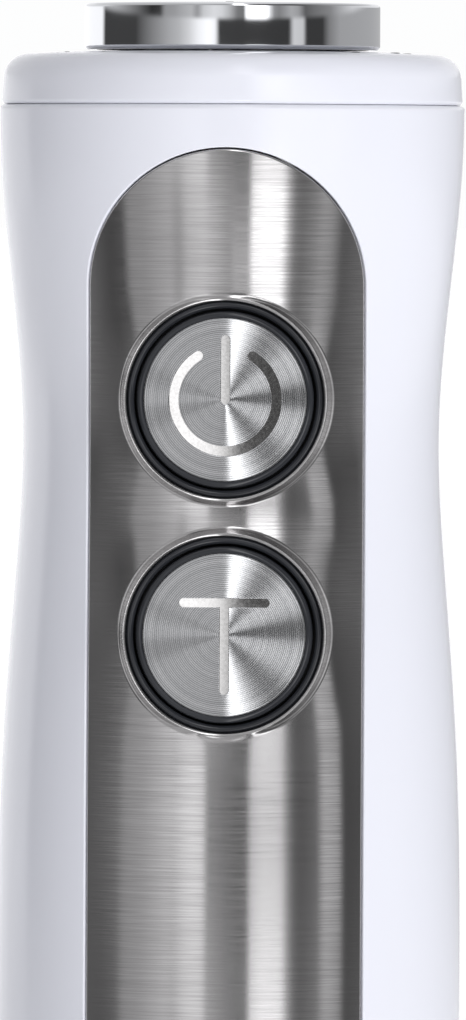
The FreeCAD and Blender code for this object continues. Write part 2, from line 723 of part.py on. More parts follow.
def motor_stator():
    """Stack of laminations with two poles, flattened on its sides."""
    stack = cylinder(STATOR_R, STATOR_LOW_Z, STATOR_TOP_Z).common(box(-30, 30, -21, 21, 200, 300))
    stack = stack.cut(cylinder(ARMATURE_R + AIR_GAP, 200, 300))
    for turn in POST_ANGLES:
        hole = Part.makeCylinder(0.9, 20, Vector(POST_R, 0, STATOR_TOP_Z - 8.0))
        stack = stack.cut(spun(hole, turn))
    for bar in coil_arcs(0.15):
        stack = stack.cut(bar)
    return stack


def field_coils():
    """Two wound coils, one round each pole: a bar down each slot, joined above and below the stack."""
    low, high = STATOR_LOW_Z, STATOR_TOP_Z
    bars = [b.common(cylinder(30, low - 0.3, high + 0.3)) for b in coil_arcs(0.0)]
    made = []
    for first, start in ((0, 33), (2, 213)):
        span = sector(start, start + 114, steps=3)
        below = ring(15.0, 19.4, low - 4.4, low - 0.2).common(span)
        above = ring(15.0, 19.4, high + 0.2, high + 4.4).common(span)
        made.append(below.fuse([above, bars[first], bars[first + 1]]).removeSplitter())
    return group(made)


def lower_bracket():
    """Cast bracket under the motor, with four posts up to the stator."""
    plate = turned((4.2, 214.0), (22.0, 214.0), (22.0, 216.5), (10.5, 216.5), (10.5, 221.5), (8.05, 221.5),
                   (8.05, 216.0), (4.2, 216.0))
    posts = [spun(box(20.0, 22.6, -3.0, 3.0, 214.0, STATOR_LOW_Z), t) for t in POST_ANGLES]
    plate = plate.fuse(posts)
    for x, z in SCREWS_XZ[-2:]:
        plate = plate.cut(cylinder_y(3.4, -30, 30, x, z))
    return plate.removeSplitter()


def upper_bracket():
    """Plastic bracket above the motor, which carries the brushes and the upper bearing."""
    plate = turned((4.2, 289.0), (4.2, 287.0), (6.05, 287.0), (6.05, 282.0), (8.2, 282.0), (8.2, 285.0),
                   (22.4, 285.0), (22.4, 289.0))
    posts = [spun(box(19.6, 21.9, -3.0, 3.0, STATOR_TOP_Z, 286.0), t) for t in POST_ANGLES]
    plate = plate.fuse(posts)
    for side in (-4.2, 4.2):
        arm = box(10.6, 21.7, side - 0.8, side + 0.8, 270.0, 286.0)
        plate = plate.fuse([arm, spun(arm, 180)])
    for turn in POST_ANGLES:
        plate = plate.cut(spun(Part.makeCylinder(0.95, 40, Vector(POST_R, 0, 255)), turn))
    return plate.removeSplitter()


def motor_bearings():
    """Plain bearings at both ends of the motor shaft."""
    return group([ring(SHAFT_R + RUNNING, 8.0, 216.0, 221.0), ring(SHAFT_R + RUNNING, 6.0, 282.2, 287.0)])


def brush_holders():
    """Two brass boxes that guide the carbon brushes towards the commutator."""
    one = box(10.6, 22.0, -3.3, 3.3, 272.0, 278.6).cut(box(10, 21.4, -2.6, 2.6, 272.7, 277.9))
    return group([one, spun(one, 180)])


def carbon_brushes():
    """Two carbon blocks, hollowed to the commutator's radius."""
    one = box(9.15, 15.4, -2.5, 2.5, 272.8, 277.8).cut(cylinder(9.15, 260, 290))
    return group([one, spun(one, 180)])


def brush_springs():
    """Springs that press the brushes inwards."""
    one = coil(1.7, 0.22, 0.0, 5.9, 6)
    one.rotate(ORIGIN, Vector(0, 1, 0), 90)
    one.translate(Vector(15.45, 0, 275.3))
    return group([one, spun(one, 180)])


def motor_mounts():
    """Two rubber pads under the motor and a rubber ring round its upper bracket."""
    pads = [ring(13.0, 20.6, 209.0, 214.0).common(box(s * 17.4 - 4.0, s * 17.4 + 4.0, -30, 30, 209, 214))
            for s in (-1, 1)]
    return group(pads + [ring(22.4, 26.1, 284.6, 288.6)])


def motor_screws():
    """Four long screws down through the upper bracket into the stator."""
    made = []
    for turn in POST_ANGLES:
        one = screw(1.5, 1.2, 0.85, 34.0)
        one.translate(Vector(POST_R, 0, 289.0))
        made.append(spun(one, turn))
    return group(made)


def motor_shaft():
    """Steel shaft of the motor, chamfered at both ends."""
    return turned((0, 205.6), (2.6, 205.6), (SHAFT_R, 206.0), (SHAFT_R, 290.4), (2.6, 290.8), (0, 290.8))


def armature_core():
    """Slotted iron stack on the motor shaft."""
    core = ring(SHAFT_R, ARMATURE_R, STATOR_LOW_Z, STATOR_TOP_Z)
    slot = box(6.4, 14.0, -0.9, 0.9, STATOR_LOW_Z - 1, STATOR_TOP_Z + 1)
    for k in range(12):
        core = core.cut(spun(slot, 30 * k))
    return core


def armature_winding():
    """Copper bars in the armature's slots, with the end turns above and below."""
    bar = box(6.4, 12.2, -0.9, 0.9, STATOR_LOW_Z - 0.5, STATOR_TOP_Z + 0.5)
    bars = [spun(bar, 30 * k) for k in range(12)]
    low = turned((SHAFT_R + 0.2, STATOR_LOW_Z), (12.2, STATOR_LOW_Z), (12.2, 226.8), (10.6, 225.4),
                 (SHAFT_R + 0.2, 225.4))
    high = turned((SHAFT_R + 0.2, STATOR_TOP_Z), (12.2, STATOR_TOP_Z), (12.2, 265.6), (10.2, 267.4),
                  (SHAFT_R + 0.2, 267.4))
    return low.fuse([high] + bars).removeSplitter()


def commutator():
    """Copper segments on the armature's upper end."""
    made = ring(SHAFT_R, 9.0, 268.6, 280.6)
    for k in range(24):
        made = made.cut(spun(box(8.4, 10.0, -0.15, 0.15, 270.0, 282.0), 15 * k))
    return made


def cooling_fan():
    """Radial fan on the motor shaft, between the lower bracket and the windings."""
    hub = ring(SHAFT_R, 7.5, 222.0, 225.0)
    plate = ring(7.0, 13.8, 222.0, 222.9)
    blades = [spun(box(6.8, 13.8, -0.4, 0.4, 222.5, 225.0), 24 * k) for k in range(15)]
    return hub.fuse([plate] + blades).removeSplitter()


def drive_coupling():
    """Driving half of the coupling: a six-lobed dog fast on the motor shaft."""
    head = cylinder(6.4, 205.6, 212.6).fuse(cylinder(4.3, 198.0, 205.6))
    lobes = [spun(Part.makeCylinder(1.4, 7.6, Vector(4.9, 0, 198.0)), 60 * k) for k in range(6)]
    return head.fuse(lobes).cut(cylinder(SHAFT_R, 205.6, 214)).removeSplitter()


def lead_wires():
    """Insulated leads from the board to the motor and the dial, with round corners."""
    def lead(points, radius=0.8, bend=2.5):
        edges, here = [], points[0]
        for k in range(1, len(points) - 1):
            corner, after = points[k], points[k + 1]
            back = (here - corner).normalize()
            on = (after - corner).normalize()
            half = back.getAngle(on) / 2
            reach = bend / math.tan(half)
            a, b = corner + back * reach, corner + on * reach
            middle = (back + on).normalize()
            top = corner + middle * (bend / math.sin(half) - bend)
            edges += [Part.LineSegment(here, a).toShape(), Part.Arc(a, top, b).toShape()]
            here = b
        edges.append(Part.LineSegment(here, points[-1]).toShape())
        start = Part.Wire(Part.makeCircle(radius, points[0], points[1] - points[0]))
        return Part.Wire(edges).makePipeShell([start], True, True)

    made = []
    for x in (-5.0, 5.0):
        to_motor = [Vector(x, BOARD_BACK_Y, 304.8), Vector(x, -2.5, 304.8), Vector(x, -2.5, 289.0)]
        made.append(lead(to_motor))
    for x in (-3.0, 3.0):
        to_dial = [Vector(x, BOARD_BACK_Y, 356.0), Vector(x, 2.0, 356.0), Vector(x, 2.0, 372.6)]
        made.append(lead(to_dial))
    return group(made)


def make_all():
    """Every sub-part by name."""
    tube, groove = housing(), parting_groove()
    right = release_button()
    parts = {
        "bell_guard": bell_guard(),
        "foot_tube": foot_tube(),
        "foot_core": foot_core(),
        "tube_seal": tube_seal(),
        "lower_bush": bush(22.0, 36.0),
        "upper_bush": bush(172.0, 186.0),
        "shaft_seal": shaft_seal(),
        "blade_shaft": blade_shaft(),
        "blade": blade(),
        "blade_nut": blade_nut(),
        "blade_spacer": blade_spacer(),
        "foot_coupling": foot_coupling(),
        "housing_front": housing_front(tube, groove),
        "housing_rear": housing_rear(tube, groove),
        "top_cap": top_cap(),
        "front_panel": front_panel(),
        "trim_ring": trim_ring(),
        "socket_sleeve": socket_sleeve(),
        "latch_ring": latch_ring(),
        "release_button_right": right,
        "release_button_left": mirrored_x(right),
        "speed_dial": speed_dial(),
        "dial_hub": dial_hub(),
        "potentiometer_shaft": potentiometer_shaft(),
        "speed_potentiometer": speed_potentiometer(),
        "potentiometer_nut": potentiometer_nut(),
        "button_bezels": button_bezels(),
        "control_board": control_board(),
        "board_screws": board_screws(),
        "button_switches": button_switches(),
        "heat_sink": heat_sink(),
        "triac": triac(),
        "suppression_capacitor": suppression_capacitor(),
        "cord_grommet": cord_grommet(),
        "cord_clamp": cord_clamp(),
        "clamp_screws": clamp_screws(),
        "housing_screws": housing_screws(),
        "motor_stator": motor_stator(),
        "field_coils": field_coils(),
        "lower_bracket": lower_bracket(),
        "upper_bracket": upper_bracket(),
        "motor_bearings": motor_bearings(),
        "brush_holders": brush_holders(),
        "carbon_brushes": carbon_brushes(),
        "brush_springs": brush_springs(),
        "motor_mounts": motor_mounts(),
        "motor_screws": motor_screws(),
        "motor_shaft": motor_shaft(),
        "armature_core": armature_core(),
        "armature_winding": armature_winding(),
        "commutator": commutator(),
        "cooling_fan": cooling_fan(),
        "drive_coupling": drive_coupling(),
        "lead_wires": lead_wires(),
    }
    marks = {"power": power_marks(), "turbo": turbo_marks()}
    for name, z, rim_y in BUTTONS:
        parts[name + "_button"] = button_body(z, rim_y)
        parts[name + "_disc"] = button_disc(z, rim_y, marks[name])
        parts[name + "_spring"] = button_spring(z, rim_y)
    return parts


def main():
    os.makedirs("parts", exist_ok=True)
    parts = make_all()
    for name, shape in parts.items():
        solids = shape.Solids
        sound = shape.isValid() and len(solids) > 0 and all(s.Volume > 0 for s in solids)
        state = "ok" if sound else "BROKEN"
        print(f"{name:24s} solids {len(solids):2d}  volume {shape.Volume:10.1f}  {state}")
        out = solids[0] if len(solids) == 1 else Part.makeCompound(solids)
        out.exportStep(f"parts/{name}.step")


main()
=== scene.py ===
# %% [markdown]
# # An immersion blender
# This lesson finishes a hand blender whose working parts are already drawn: a white motor handle with a steel
# front panel, two round metal buttons, a chromed speed dial on top, and a steel foot with a bell.
# The drawn parts fix every size. What is made here is what the eye sees: soft edges, the swell of the panel
# round its buttons, brushed and spun metal, and the studio that these metals reflect.

# %% Load the frame
import json
import math

import bmesh
import bpy
import numpy as np
from mathutils import Matrix, Vector
from mathutils.geometry import delaunay_2d_cdt
from mathutils.kdtree import KDTree


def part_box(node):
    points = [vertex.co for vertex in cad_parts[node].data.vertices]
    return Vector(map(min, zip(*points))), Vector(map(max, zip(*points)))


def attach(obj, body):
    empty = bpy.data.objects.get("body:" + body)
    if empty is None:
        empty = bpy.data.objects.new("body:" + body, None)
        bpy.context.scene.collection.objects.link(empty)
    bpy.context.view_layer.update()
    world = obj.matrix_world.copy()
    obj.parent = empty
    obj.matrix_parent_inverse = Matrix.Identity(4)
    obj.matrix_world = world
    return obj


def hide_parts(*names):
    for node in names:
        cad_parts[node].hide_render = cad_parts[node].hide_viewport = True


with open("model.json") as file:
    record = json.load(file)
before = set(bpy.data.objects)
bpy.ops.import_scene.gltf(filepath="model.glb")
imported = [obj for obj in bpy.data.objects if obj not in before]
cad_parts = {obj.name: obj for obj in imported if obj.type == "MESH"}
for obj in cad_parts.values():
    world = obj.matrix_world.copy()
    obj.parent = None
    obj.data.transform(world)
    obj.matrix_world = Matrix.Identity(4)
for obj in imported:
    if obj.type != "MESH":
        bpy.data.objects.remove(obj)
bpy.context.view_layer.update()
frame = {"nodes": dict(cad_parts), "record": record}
nodes = frame["nodes"]
MM = 0.001

# %% [markdown]
# ## A few helpers
# Every cell below puts objects in the scene and plugs nodes together, so each of these jobs has one function. A
# node's inputs are given by name or number: a plain value is stored, and another node's output is wired in.

# %% Helpers
def add_object(name, data):
    made = bpy.data.objects.new(name, data)
    bpy.context.scene.collection.objects.link(made)
    return made


def feed(tree, made, inputs):
    for name, value in inputs.items():
        if isinstance(value, bpy.types.NodeSocket):
            tree.links.new(value, made.inputs[name])
        else:
            made.inputs[name].default_value = value


def node(tree, kind, inputs, output=0, **settings):
    """Adds a node with its settings and inputs, and returns one of its outputs."""
    made = tree.nodes.new(kind)
    for name, value in settings.items():
        setattr(made, name, value)
    feed(tree, made, inputs)
    return made.outputs[output] if len(made.outputs) else None


def maths(tree, operation, *values):
    return node(tree, "ShaderNodeMath", dict(enumerate(values)), operation=operation)


def centre_of(name):
    """The middle of a drawn part, in metres."""
    low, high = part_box(name)
    return (low + high) / 2


print("helpers ready")

# %% [markdown]
# ## The camera
# The blender is looked at from a little over a metre, almost level and a touch from its right, with a long lens
# that frames only the dial, the panel's arch and both buttons. The camera is turned by a fraction of a degree
# about its own axis, because a hand-placed product is never quite plumb.

# %% Camera
AIM = Vector((0.0003, 0.0, 0.3274))
CAMERA_DISTANCE = 1.3
CAMERA_AZIMUTH = math.radians(1.5)
CAMERA_RISE = 0.043
CAMERA_ROLL = math.radians(0.26)
FRAME_HEIGHT = 0.1275
SENSOR = 36.0
NEAREST, FARTHEST = 0.05, 100.0


def make_camera():
    data = bpy.data.cameras.new("camera")
    data.sensor_width = SENSOR
    data.lens = SENSOR * CAMERA_DISTANCE / FRAME_HEIGHT
    data.clip_start, data.clip_end = NEAREST, FARTHEST
    camera = add_object("camera", data)
    back = Vector((math.sin(CAMERA_AZIMUTH), -math.cos(CAMERA_AZIMUTH), 0)) * CAMERA_DISTANCE
    camera.location = AIM + back + Vector((0, 0, CAMERA_RISE))
    look = (AIM - camera.location).to_track_quat("-Z", "Y")
    camera.rotation_mode = "QUATERNION"
    camera.rotation_quaternion = look @ Matrix.Rotation(CAMERA_ROLL, 3, "Z").to_quaternion()
    bpy.context.scene.camera = camera
    return camera


camera = make_camera()
print("lens in mm:", round(camera.data.lens))

# %% [markdown]
# ## The studio
# Polished metal has no look of its own: it shows the room. A photographer surrounds such an object with white
# walls, lets one tall softbox stand to the right, and leaves the space behind the camera dark, so that every
# upright cylinder wears vertical bands. Here the room is the world itself, a map of brightness by compass
# direction, which costs no geometry and stays put when the camera walks round. It has three levels: what lies
# near the horizon, what lies above and below it, and what lies higher or lower still. The camera's own rays
# see a plain pale backdrop instead.

# %% The room as a map of brightness by direction
NEAR_HORIZON = [   # degrees round from the front, positive to the right, and brightness
    (-180, 1.20), (-151, 1.20), (-122, 1.20), (-117, 0.06), (-80, 0.06), (-67, 0.23), (-58, 0.35),
    (-49, 0.48), (-41, 0.58), (-33, 0.80), (-25, 1.15), (-17, 1.35), (-12, 1.20), (-9, 0.06), (46, 0.05),
    (50, 0.75), (58, 0.70), (61, 0.05), (76, 0.05), (83, 0.26), (94, 0.42), (136, 0.46), (170, 0.52),
    (180, 1.20),
]
ABOVE_AND_BELOW = [
    (-180, 1.00), (-120, 0.80), (-84, 0.26), (-72, 0.10), (-65, 0.03), (-57, 0.05), (-53, 0.36), (-45, 0.40),
    (-38, 0.50), (-31, 0.58), (-26, 0.38), (-21, 0.74), (-13, 0.90), (-7, 0.84), (-1, 0.58), (5, 0.24),
    (10.4, 0.22), (12.2, 1.90), (18, 2.50), (27, 2.40), (31, 0.85), (34, 0.34), (38, 0.28), (42, 0.36),
    (48, 0.50), (54, 0.42), (60, 0.14), (68, 0.20), (84, 0.30), (110, 0.80), (180, 1.00),
]
OVERHEAD = [   # only the spun discs and the lips look this high or low
    (-180, 0.9), (-90, 0.55), (-60, 0.5), (-20, 0.5), (-4, 0.42), (1, 0.55), (3, 2.9), (12, 2.9), (15, 0.5),
    (22, 0.16), (60, 0.1), (84, 0.3), (180, 0.9),
]
LEVELS = (   # each takes over from the one before between two steepnesses of the direction
    (0.065, 0.095, ABOVE_AND_BELOW), (0.30, 0.38, OVERHEAD),
)
CROWN_START, CROWN_END, CEILING = 0.80, 0.97, 0.9   # right overhead is an even ceiling
ROOM_TINT = (0.985, 0.985, 1.0, 1)
BACKDROP = (0.985, 0.988, 0.99, 1)
DIFFUSE_SHARE = 0.1   # the walls are bright in a mirror, but far off: they light dull surfaces a tenth as much


def level_ramp(tree, stops, driver):
    """A Float Curve that reads brightness off a compass bearing between 0 and 1."""
    curve = tree.nodes.new("ShaderNodeFloatCurve")
    points = curve.mapping.curves[0].points
    top = max(level for _, level in stops)
    curve.mapping.use_clip = False
    for angle, level in stops[1:-1]:
        points.new((angle + 180) / 360, level / top)
    points[0].location = (0, stops[0][1] / top)
    points[len(points) - 1].location = (1, stops[-1][1] / top)
    for point in points:
        point.handle_type = "VECTOR"
    curve.mapping.update()
    tree.links.new(driver, curve.inputs["Value"])
    return maths(tree, "MULTIPLY", curve.outputs["Value"], top)


def make_world():
    world = bpy.data.worlds.new("studio")
    bpy.context.scene.world = world
    world.use_nodes = True
    tree = world.node_tree
    tree.nodes.clear()
    split = tree.nodes.new("ShaderNodeSeparateXYZ")
    feed(tree, split, {0: node(tree, "ShaderNodeTexCoord", {}, "Generated")})
    x, y, z = split.outputs
    bearing = maths(tree, "ARCTAN2", x, maths(tree, "MULTIPLY", y, -1.0))
    turn = maths(tree, "MULTIPLY_ADD", bearing, 1 / (2 * math.pi), 0.5)
    steep = maths(tree, "ABSOLUTE", z)
    level = level_ramp(tree, NEAR_HORIZON, turn)
    for start, end, stops in LEVELS:
        lift = node(tree, "ShaderNodeMapRange", {"Value": steep, "From Min": start, "From Max": end},
                    interpolation_type="SMOOTHSTEP")
        level = node(tree, "ShaderNodeMix", {"Factor": lift, "A": level, "B": level_ramp(tree, stops, turn)},
                     "Result")
    crown = node(tree, "ShaderNodeMapRange", {"Value": z, "From Min": CROWN_START, "From Max": CROWN_END})
    level = node(tree, "ShaderNodeMix", {"Factor": crown, "A": level, "B": CEILING}, "Result")
    path = tree.nodes.new("ShaderNodeLightPath").outputs
    share = maths(tree, "MULTIPLY_ADD", path["Is Diffuse Ray"], DIFFUSE_SHARE - 1, 1.0)
    room = node(tree, "ShaderNodeBackground", {"Color": ROOM_TINT,
                                               "Strength": maths(tree, "MULTIPLY", level, share)})
    plain = node(tree, "ShaderNodeBackground", {"Color": BACKDROP})
    chosen = node(tree, "ShaderNodeMixShader", {0: path["Is Camera Ray"], 1: room, 2: plain})
    node(tree, "ShaderNodeOutputWorld", {"Surface": chosen})


make_world()
print("room map bearings:", [len(stops) for stops in (NEAR_HORIZON, ABOVE_AND_BELOW, OVERHEAD)])

# %% [markdown]
# ## Softboxes
# The world gives the reflections. Four large area lights give the white plastic its soft modelling: a key from
# the right front, a weak fill from the left front, one from behind on the left for the back and the far edge,
# and one overhead for the cap. None of them is seen by the camera or in the metal.

# %% Area lights
LIGHTS = [   # name, bearing, height, distance, width, length, watts
    ("key", 30, 0.50, 1.5, 0.8, 1.2, 16.3),
    ("fill", -64, 0.45, 1.7, 0.9, 1.2, 0.4),
    ("rim", -150, 0.6, 1.5, 0.8, 1.2, 7.0),
    ("top", 180, 2.1, 0.15, 1.2, 1.2, 12.0),
]
LIGHTS_MEET = Vector((0, 0, 0.25))


def make_light(name, bearing, height, distance, width, length, watts):
    data = bpy.data.lights.new(name, "AREA")
    data.shape = "RECTANGLE"
    data.size, data.size_y = width, length
    data.energy = watts
    light = add_object(name, data)
    angle = math.radians(bearing)
    light.location = (distance * math.sin(angle), -distance * math.cos(angle), height)
    light.rotation_euler = (LIGHTS_MEET - light.location).to_track_quat("-Z", "Y").to_euler()
    light.visible_camera = False
    light.visible_glossy = False


for row in LIGHTS:
    make_light(*row)
print("area lights:", len(LIGHTS))

# %% [markdown]
# ## Materials from nodes
# Every finish starts from the same shader, so one helper makes it and hands back the material, its tree and the
# shader. A second helper stretches noise along one direction, which is what brushing, grinding and turning
# leave behind. The others stretch a pattern between two values, blend two colours by it, and turn it into a bump.

# %% Material helpers
def finish(name, color, metallic=0.0, roughness=0.4):
    material = bpy.data.materials.new(name)
    material.use_nodes = True
    shader = material.node_tree.nodes["Principled BSDF"]
    feed(material.node_tree, shader, {"Base Color": (*color, 1), "Metallic": metallic, "Roughness": roughness})
    return material, material.node_tree, shader


def stretched_noise(tree, scale, detail=3.0):
    """Noise on the piece's own coordinates, with its own scale along each axis, in cells per metre."""
    where = node(tree, "ShaderNodeTexCoord", {}, "Object")
    stretched = node(tree, "ShaderNodeMapping", {"Vector": where, "Scale": scale})
    return node(tree, "ShaderNodeTexNoise", {"Vector": stretched, "Scale": 1.0, "Detail": detail}, "Fac")


def remap(tree, source, low, high, start=0.3, end=0.7):
    return node(tree, "ShaderNodeMapRange", {"Value": source, "From Min": start, "From Max": end, "To Min": low,
                                             "To Max": high})


def tint(tree, source, dark, light):
    return node(tree, "ShaderNodeMix", {"Factor": source, "A": (*dark, 1), "B": (*light, 1)}, "Result",
                data_type="RGBA")


def bump(tree, height, depth):
    """A bump whose depth is in mm."""
    return node(tree, "ShaderNodeBump", {"Distance": depth * MM, "Strength": 1.0, "Height": height})


def smeared(tree, direction, axis):
    """The inputs that smear a highlight at right angles to marks running round an axis."""
    tangent = node(tree, "ShaderNodeTangent", {}, direction_type=direction, axis=axis)
    return {"Anisotropic Rotation": 0.25, "Tangent": tangent}


print("material helpers ready")

# %% [markdown]
# ## White gloss plastic
# The handle is moulded in a cool white. Gloss plastic is never a perfect mirror: the mould leaves a faint
# orange peel a few millimetres across, and handling leaves the gloss a little uneven. Both are slow noise, one
# as a very shallow bump and one on the roughness.

# %% White plastic
def make_white_plastic():
    material, tree, shader = finish("white gloss plastic", (0.76, 0.77, 0.84))
    handled = stretched_noise(tree, (60, 60, 25))
    shade = stretched_noise(tree, (22, 22, 9), detail=1.0)
    peel = stretched_noise(tree, (260, 260, 260), detail=1.0)
    feed(tree, shader, {
        "IOR": 1.5, "Roughness": remap(tree, handled, 0.12, 0.20),
        "Base Color": tint(tree, shade, (0.752, 0.762, 0.838), (0.772, 0.782, 0.856)),
        "Normal": bump(tree, peel, 0.012)})
    return material


white_plastic = make_white_plastic()
print("made", white_plastic.name)

# %% [markdown]
# ## Brushed steel
# The panel was drawn across an abrasive belt, so its scratches run sideways: several millimetres long, and a
# fraction of a millimetre high. Three things follow from that. The colour is streaky, the gloss is streaky, and
# a highlight smears at right angles to the scratches, which is what anisotropy does. The panel isn't centred on
# its axis, so it takes the direction of its scratches from its own map. The foot's run round the Z axis.

# %% Brushed steel
def brushed_steel(name, dark, light, rough, across, along, anisotropy, depth, direction):
    """Steel brushed sideways: `along` and `across` are noise cells per metre along the scratches and across."""
    material, tree, shader = finish(name, light, metallic=1.0)
    fine = stretched_noise(tree, (along, along, across), detail=5.0)
    streaks = remap(tree, fine, 0, 1, 0.32, 0.68)
    feed(tree, shader, {
        "Base Color": tint(tree, streaks, dark, light), "Roughness": remap(tree, fine, *rough, 0.32, 0.68),
        "Anisotropic": anisotropy, "Normal": bump(tree, fine, depth), **smeared(tree, direction, "Z")})
    return material


panel_steel = brushed_steel("panel steel", (0.52, 0.51, 0.51), (0.64, 0.63, 0.63), (0.19, 0.13),
                            7000, 130, 0.93, 0.0022, "UV_MAP")
foot_steel = brushed_steel("foot steel", (0.55, 0.55, 0.56), (0.63, 0.63, 0.64), (0.22, 0.17),
                           6000, 90, 0.9, 0.0015, "RADIAL")
print("made", panel_steel.name, "and", foot_steel.name)

# %% [markdown]
# ## Chrome
# The dial is chromed plastic: a mirror with hardly any grain. What gives it away as a real thing is a breath of
# uneven polish and the slight waviness of the moulding under the plating.

# %% Chrome
def make_chrome():
    material, tree, shader = finish("dial chrome", (0.78, 0.79, 0.81), metallic=1.0)
    smear = stretched_noise(tree, (90, 90, 160), detail=4.0)
    wave = stretched_noise(tree, (70, 70, 200), detail=0.0)
    feed(tree, shader, {"Roughness": remap(tree, smear, 0.035, 0.075), "Normal": bump(tree, wave, 0.01)})
    return material


chrome = make_chrome()
print("made", chrome.name)

# %% [markdown]
# ## Spun aluminium
# The button discs were faced on a lathe, which leaves rings a quarter of a millimetre apart. Light that meets
# rings spreads across them, so two bright wedges stand on each disc like the hands of a clock. The rings are a
# wave texture centred on the disc, with uneven turning marks between them, and the tangent runs round the
# disc's own axis.

# %% Spun discs
RING_SCALE = 1366          # for a wave texture this puts the rings 0.23 mm apart
RING_SHARE, GRAIN_SHARE = 0.55, 0.45
GRAIN_CELLS = 1500


def spun_aluminium(name, centre):
    material, tree, shader = finish(name, (0.74, 0.74, 0.75), metallic=1.0)
    where = node(tree, "ShaderNodeTexCoord", {}, "Object")
    centred = node(tree, "ShaderNodeMapping", {"Vector": where, "Location": [-c for c in centre]})
    rings = node(tree, "ShaderNodeTexWave", {"Vector": centred, "Scale": RING_SCALE, "Distortion": 0.0}, "Fac",
                 wave_type="RINGS", rings_direction="Y")
    flat = node(tree, "ShaderNodeVectorMath", {0: centred, 1: (1, 0, 1)}, operation="MULTIPLY")
    radius = node(tree, "ShaderNodeVectorMath", {0: flat}, "Value", operation="LENGTH")
    grain = node(tree, "ShaderNodeTexNoise", {"W": radius, "Scale": GRAIN_CELLS, "Detail": 2.0}, "Fac",
                 noise_dimensions="1D")
    ridges = maths(tree, "MULTIPLY_ADD", rings, RING_SHARE, maths(tree, "MULTIPLY", grain, GRAIN_SHARE))
    shade = remap(tree, ridges, 0, 1, 0.15, 0.85)
    feed(tree, shader, {
        "Base Color": tint(tree, shade, (0.45, 0.46, 0.47), (0.84, 0.84, 0.85)),
        "Roughness": remap(tree, ridges, 0.20, 0.27, 0.15, 0.85), "Anisotropic": 1.0,
        "Normal": bump(tree, rings, 0.003), **smeared(tree, "RADIAL", "Y")})
    return material


disc_finish = {name: spun_aluminium(name.replace("_", " ") + " aluminium", centre_of(name))
               for name in ("power_disc", "turbo_disc")}
print("made", [material.name for material in disc_finish.values()])

# %% [markdown]
# ## Plain finishes
# The other pieces are simple, but none is one flat colour. A table gives each its two colours, its gloss and
# the size of its grain, and one recipe turns a row of the table into a material.

# %% Simple finishes
PLAIN = {   # dark, light, metallic, roughness low and high, grain cells per metre, bump depth in mm
    "button_black": ((0.017, 0.018, 0.022), (0.024, 0.026, 0.031), 0, 0.10, 0.18, (120, 120, 120), 0.004),
    "grey_plastic": ((0.20, 0.205, 0.215), (0.26, 0.265, 0.275), 0, 0.38, 0.52, (700, 700, 700), 0.02),
    "white_plastic": ((0.70, 0.70, 0.70), (0.78, 0.78, 0.78), 0, 0.35, 0.5, (600, 600, 600), 0.02),
    "black_rubber": ((0.016, 0.016, 0.017), (0.028, 0.028, 0.030), 0, 0.62, 0.8, (1500, 1500, 1500), 0.05),
    "blade_steel": ((0.56, 0.56, 0.57), (0.72, 0.72, 0.73), 1, 0.16, 0.30, (90, 1600, 90), 0.006),
    "shaft_steel": ((0.48, 0.48, 0.49), (0.60, 0.60, 0.61), 1, 0.18, 0.30, (60, 60, 2400), 0.004),
    "bronze": ((0.42, 0.27, 0.12), (0.62, 0.42, 0.20), 1, 0.32, 0.45, (2200, 2200, 2200), 0.03),
    "copper": ((0.42, 0.14, 0.06), (0.72, 0.30, 0.14), 1, 0.22, 0.36, (90, 90, 1900), 0.06),
    "lamination": ((0.12, 0.12, 0.13), (0.24, 0.24, 0.25), 1, 0.35, 0.5, (30, 30, 2000), 0.05),
    "zinc": ((0.45, 0.45, 0.46), (0.58, 0.58, 0.59), 1, 0.38, 0.52, (900, 900, 900), 0.03),
    "carbon": ((0.02, 0.02, 0.02), (0.05, 0.05, 0.05), 0, 0.5, 0.65, (1800, 1800, 1800), 0.03),
    "board_green": ((0.010, 0.085, 0.035), (0.02, 0.16, 0.07), 0, 0.25, 0.4, (420, 420, 420), 0.02),
    "zinc_screw": ((0.55, 0.55, 0.56), (0.68, 0.68, 0.70), 1, 0.25, 0.4, (1300, 1300, 1300), 0.02),
    "capacitor_yellow": ((0.50, 0.34, 0.05), (0.62, 0.44, 0.08), 0, 0.3, 0.45, (500, 500, 500), 0.02),
    "lead_red": ((0.36, 0.03, 0.02), (0.46, 0.05, 0.03), 0, 0.35, 0.45, (300, 300, 300), 0.02),
}


def plain_finish(name, dark, light, metallic, low, high, grain, depth):
    material, tree, shader = finish(name.replace("_", " "), light, metallic)
    pattern = stretched_noise(tree, grain)
    feed(tree, shader, {
        "Base Color": tint(tree, remap(tree, pattern, 0, 1), dark, light),
        "Roughness": remap(tree, pattern, high, low), "Normal": bump(tree, pattern, depth)})
    return material


finishes = {slot: plain_finish(slot, *row) for slot, row in PLAIN.items()}
finishes.update(white_shell=white_plastic, panel_steel=panel_steel, foot_steel=foot_steel, dial_chrome=chrome,
                disc_aluminium=disc_finish["power_disc"])
print("plain finishes:", len(PLAIN))

# %% [markdown]
# ## Polished marks
# The floor of a mark is bare polished metal, smoother than the spun rings round it and with no rings of its own.

# %% Mark finish
def make_polished_mark():
    material, tree, shader = finish("polished mark", (0.80, 0.79, 0.78), metallic=1.0)
    grain = stretched_noise(tree, (3000, 3000, 3000))
    feed(tree, shader, {
        "Base Color": tint(tree, remap(tree, grain, 0, 1), (0.70, 0.69, 0.68), (0.86, 0.85, 0.84)),
        "Roughness": remap(tree, grain, 0.09, 0.12)})
    return material


mark_finish = make_polished_mark()
print("made", mark_finish.name)

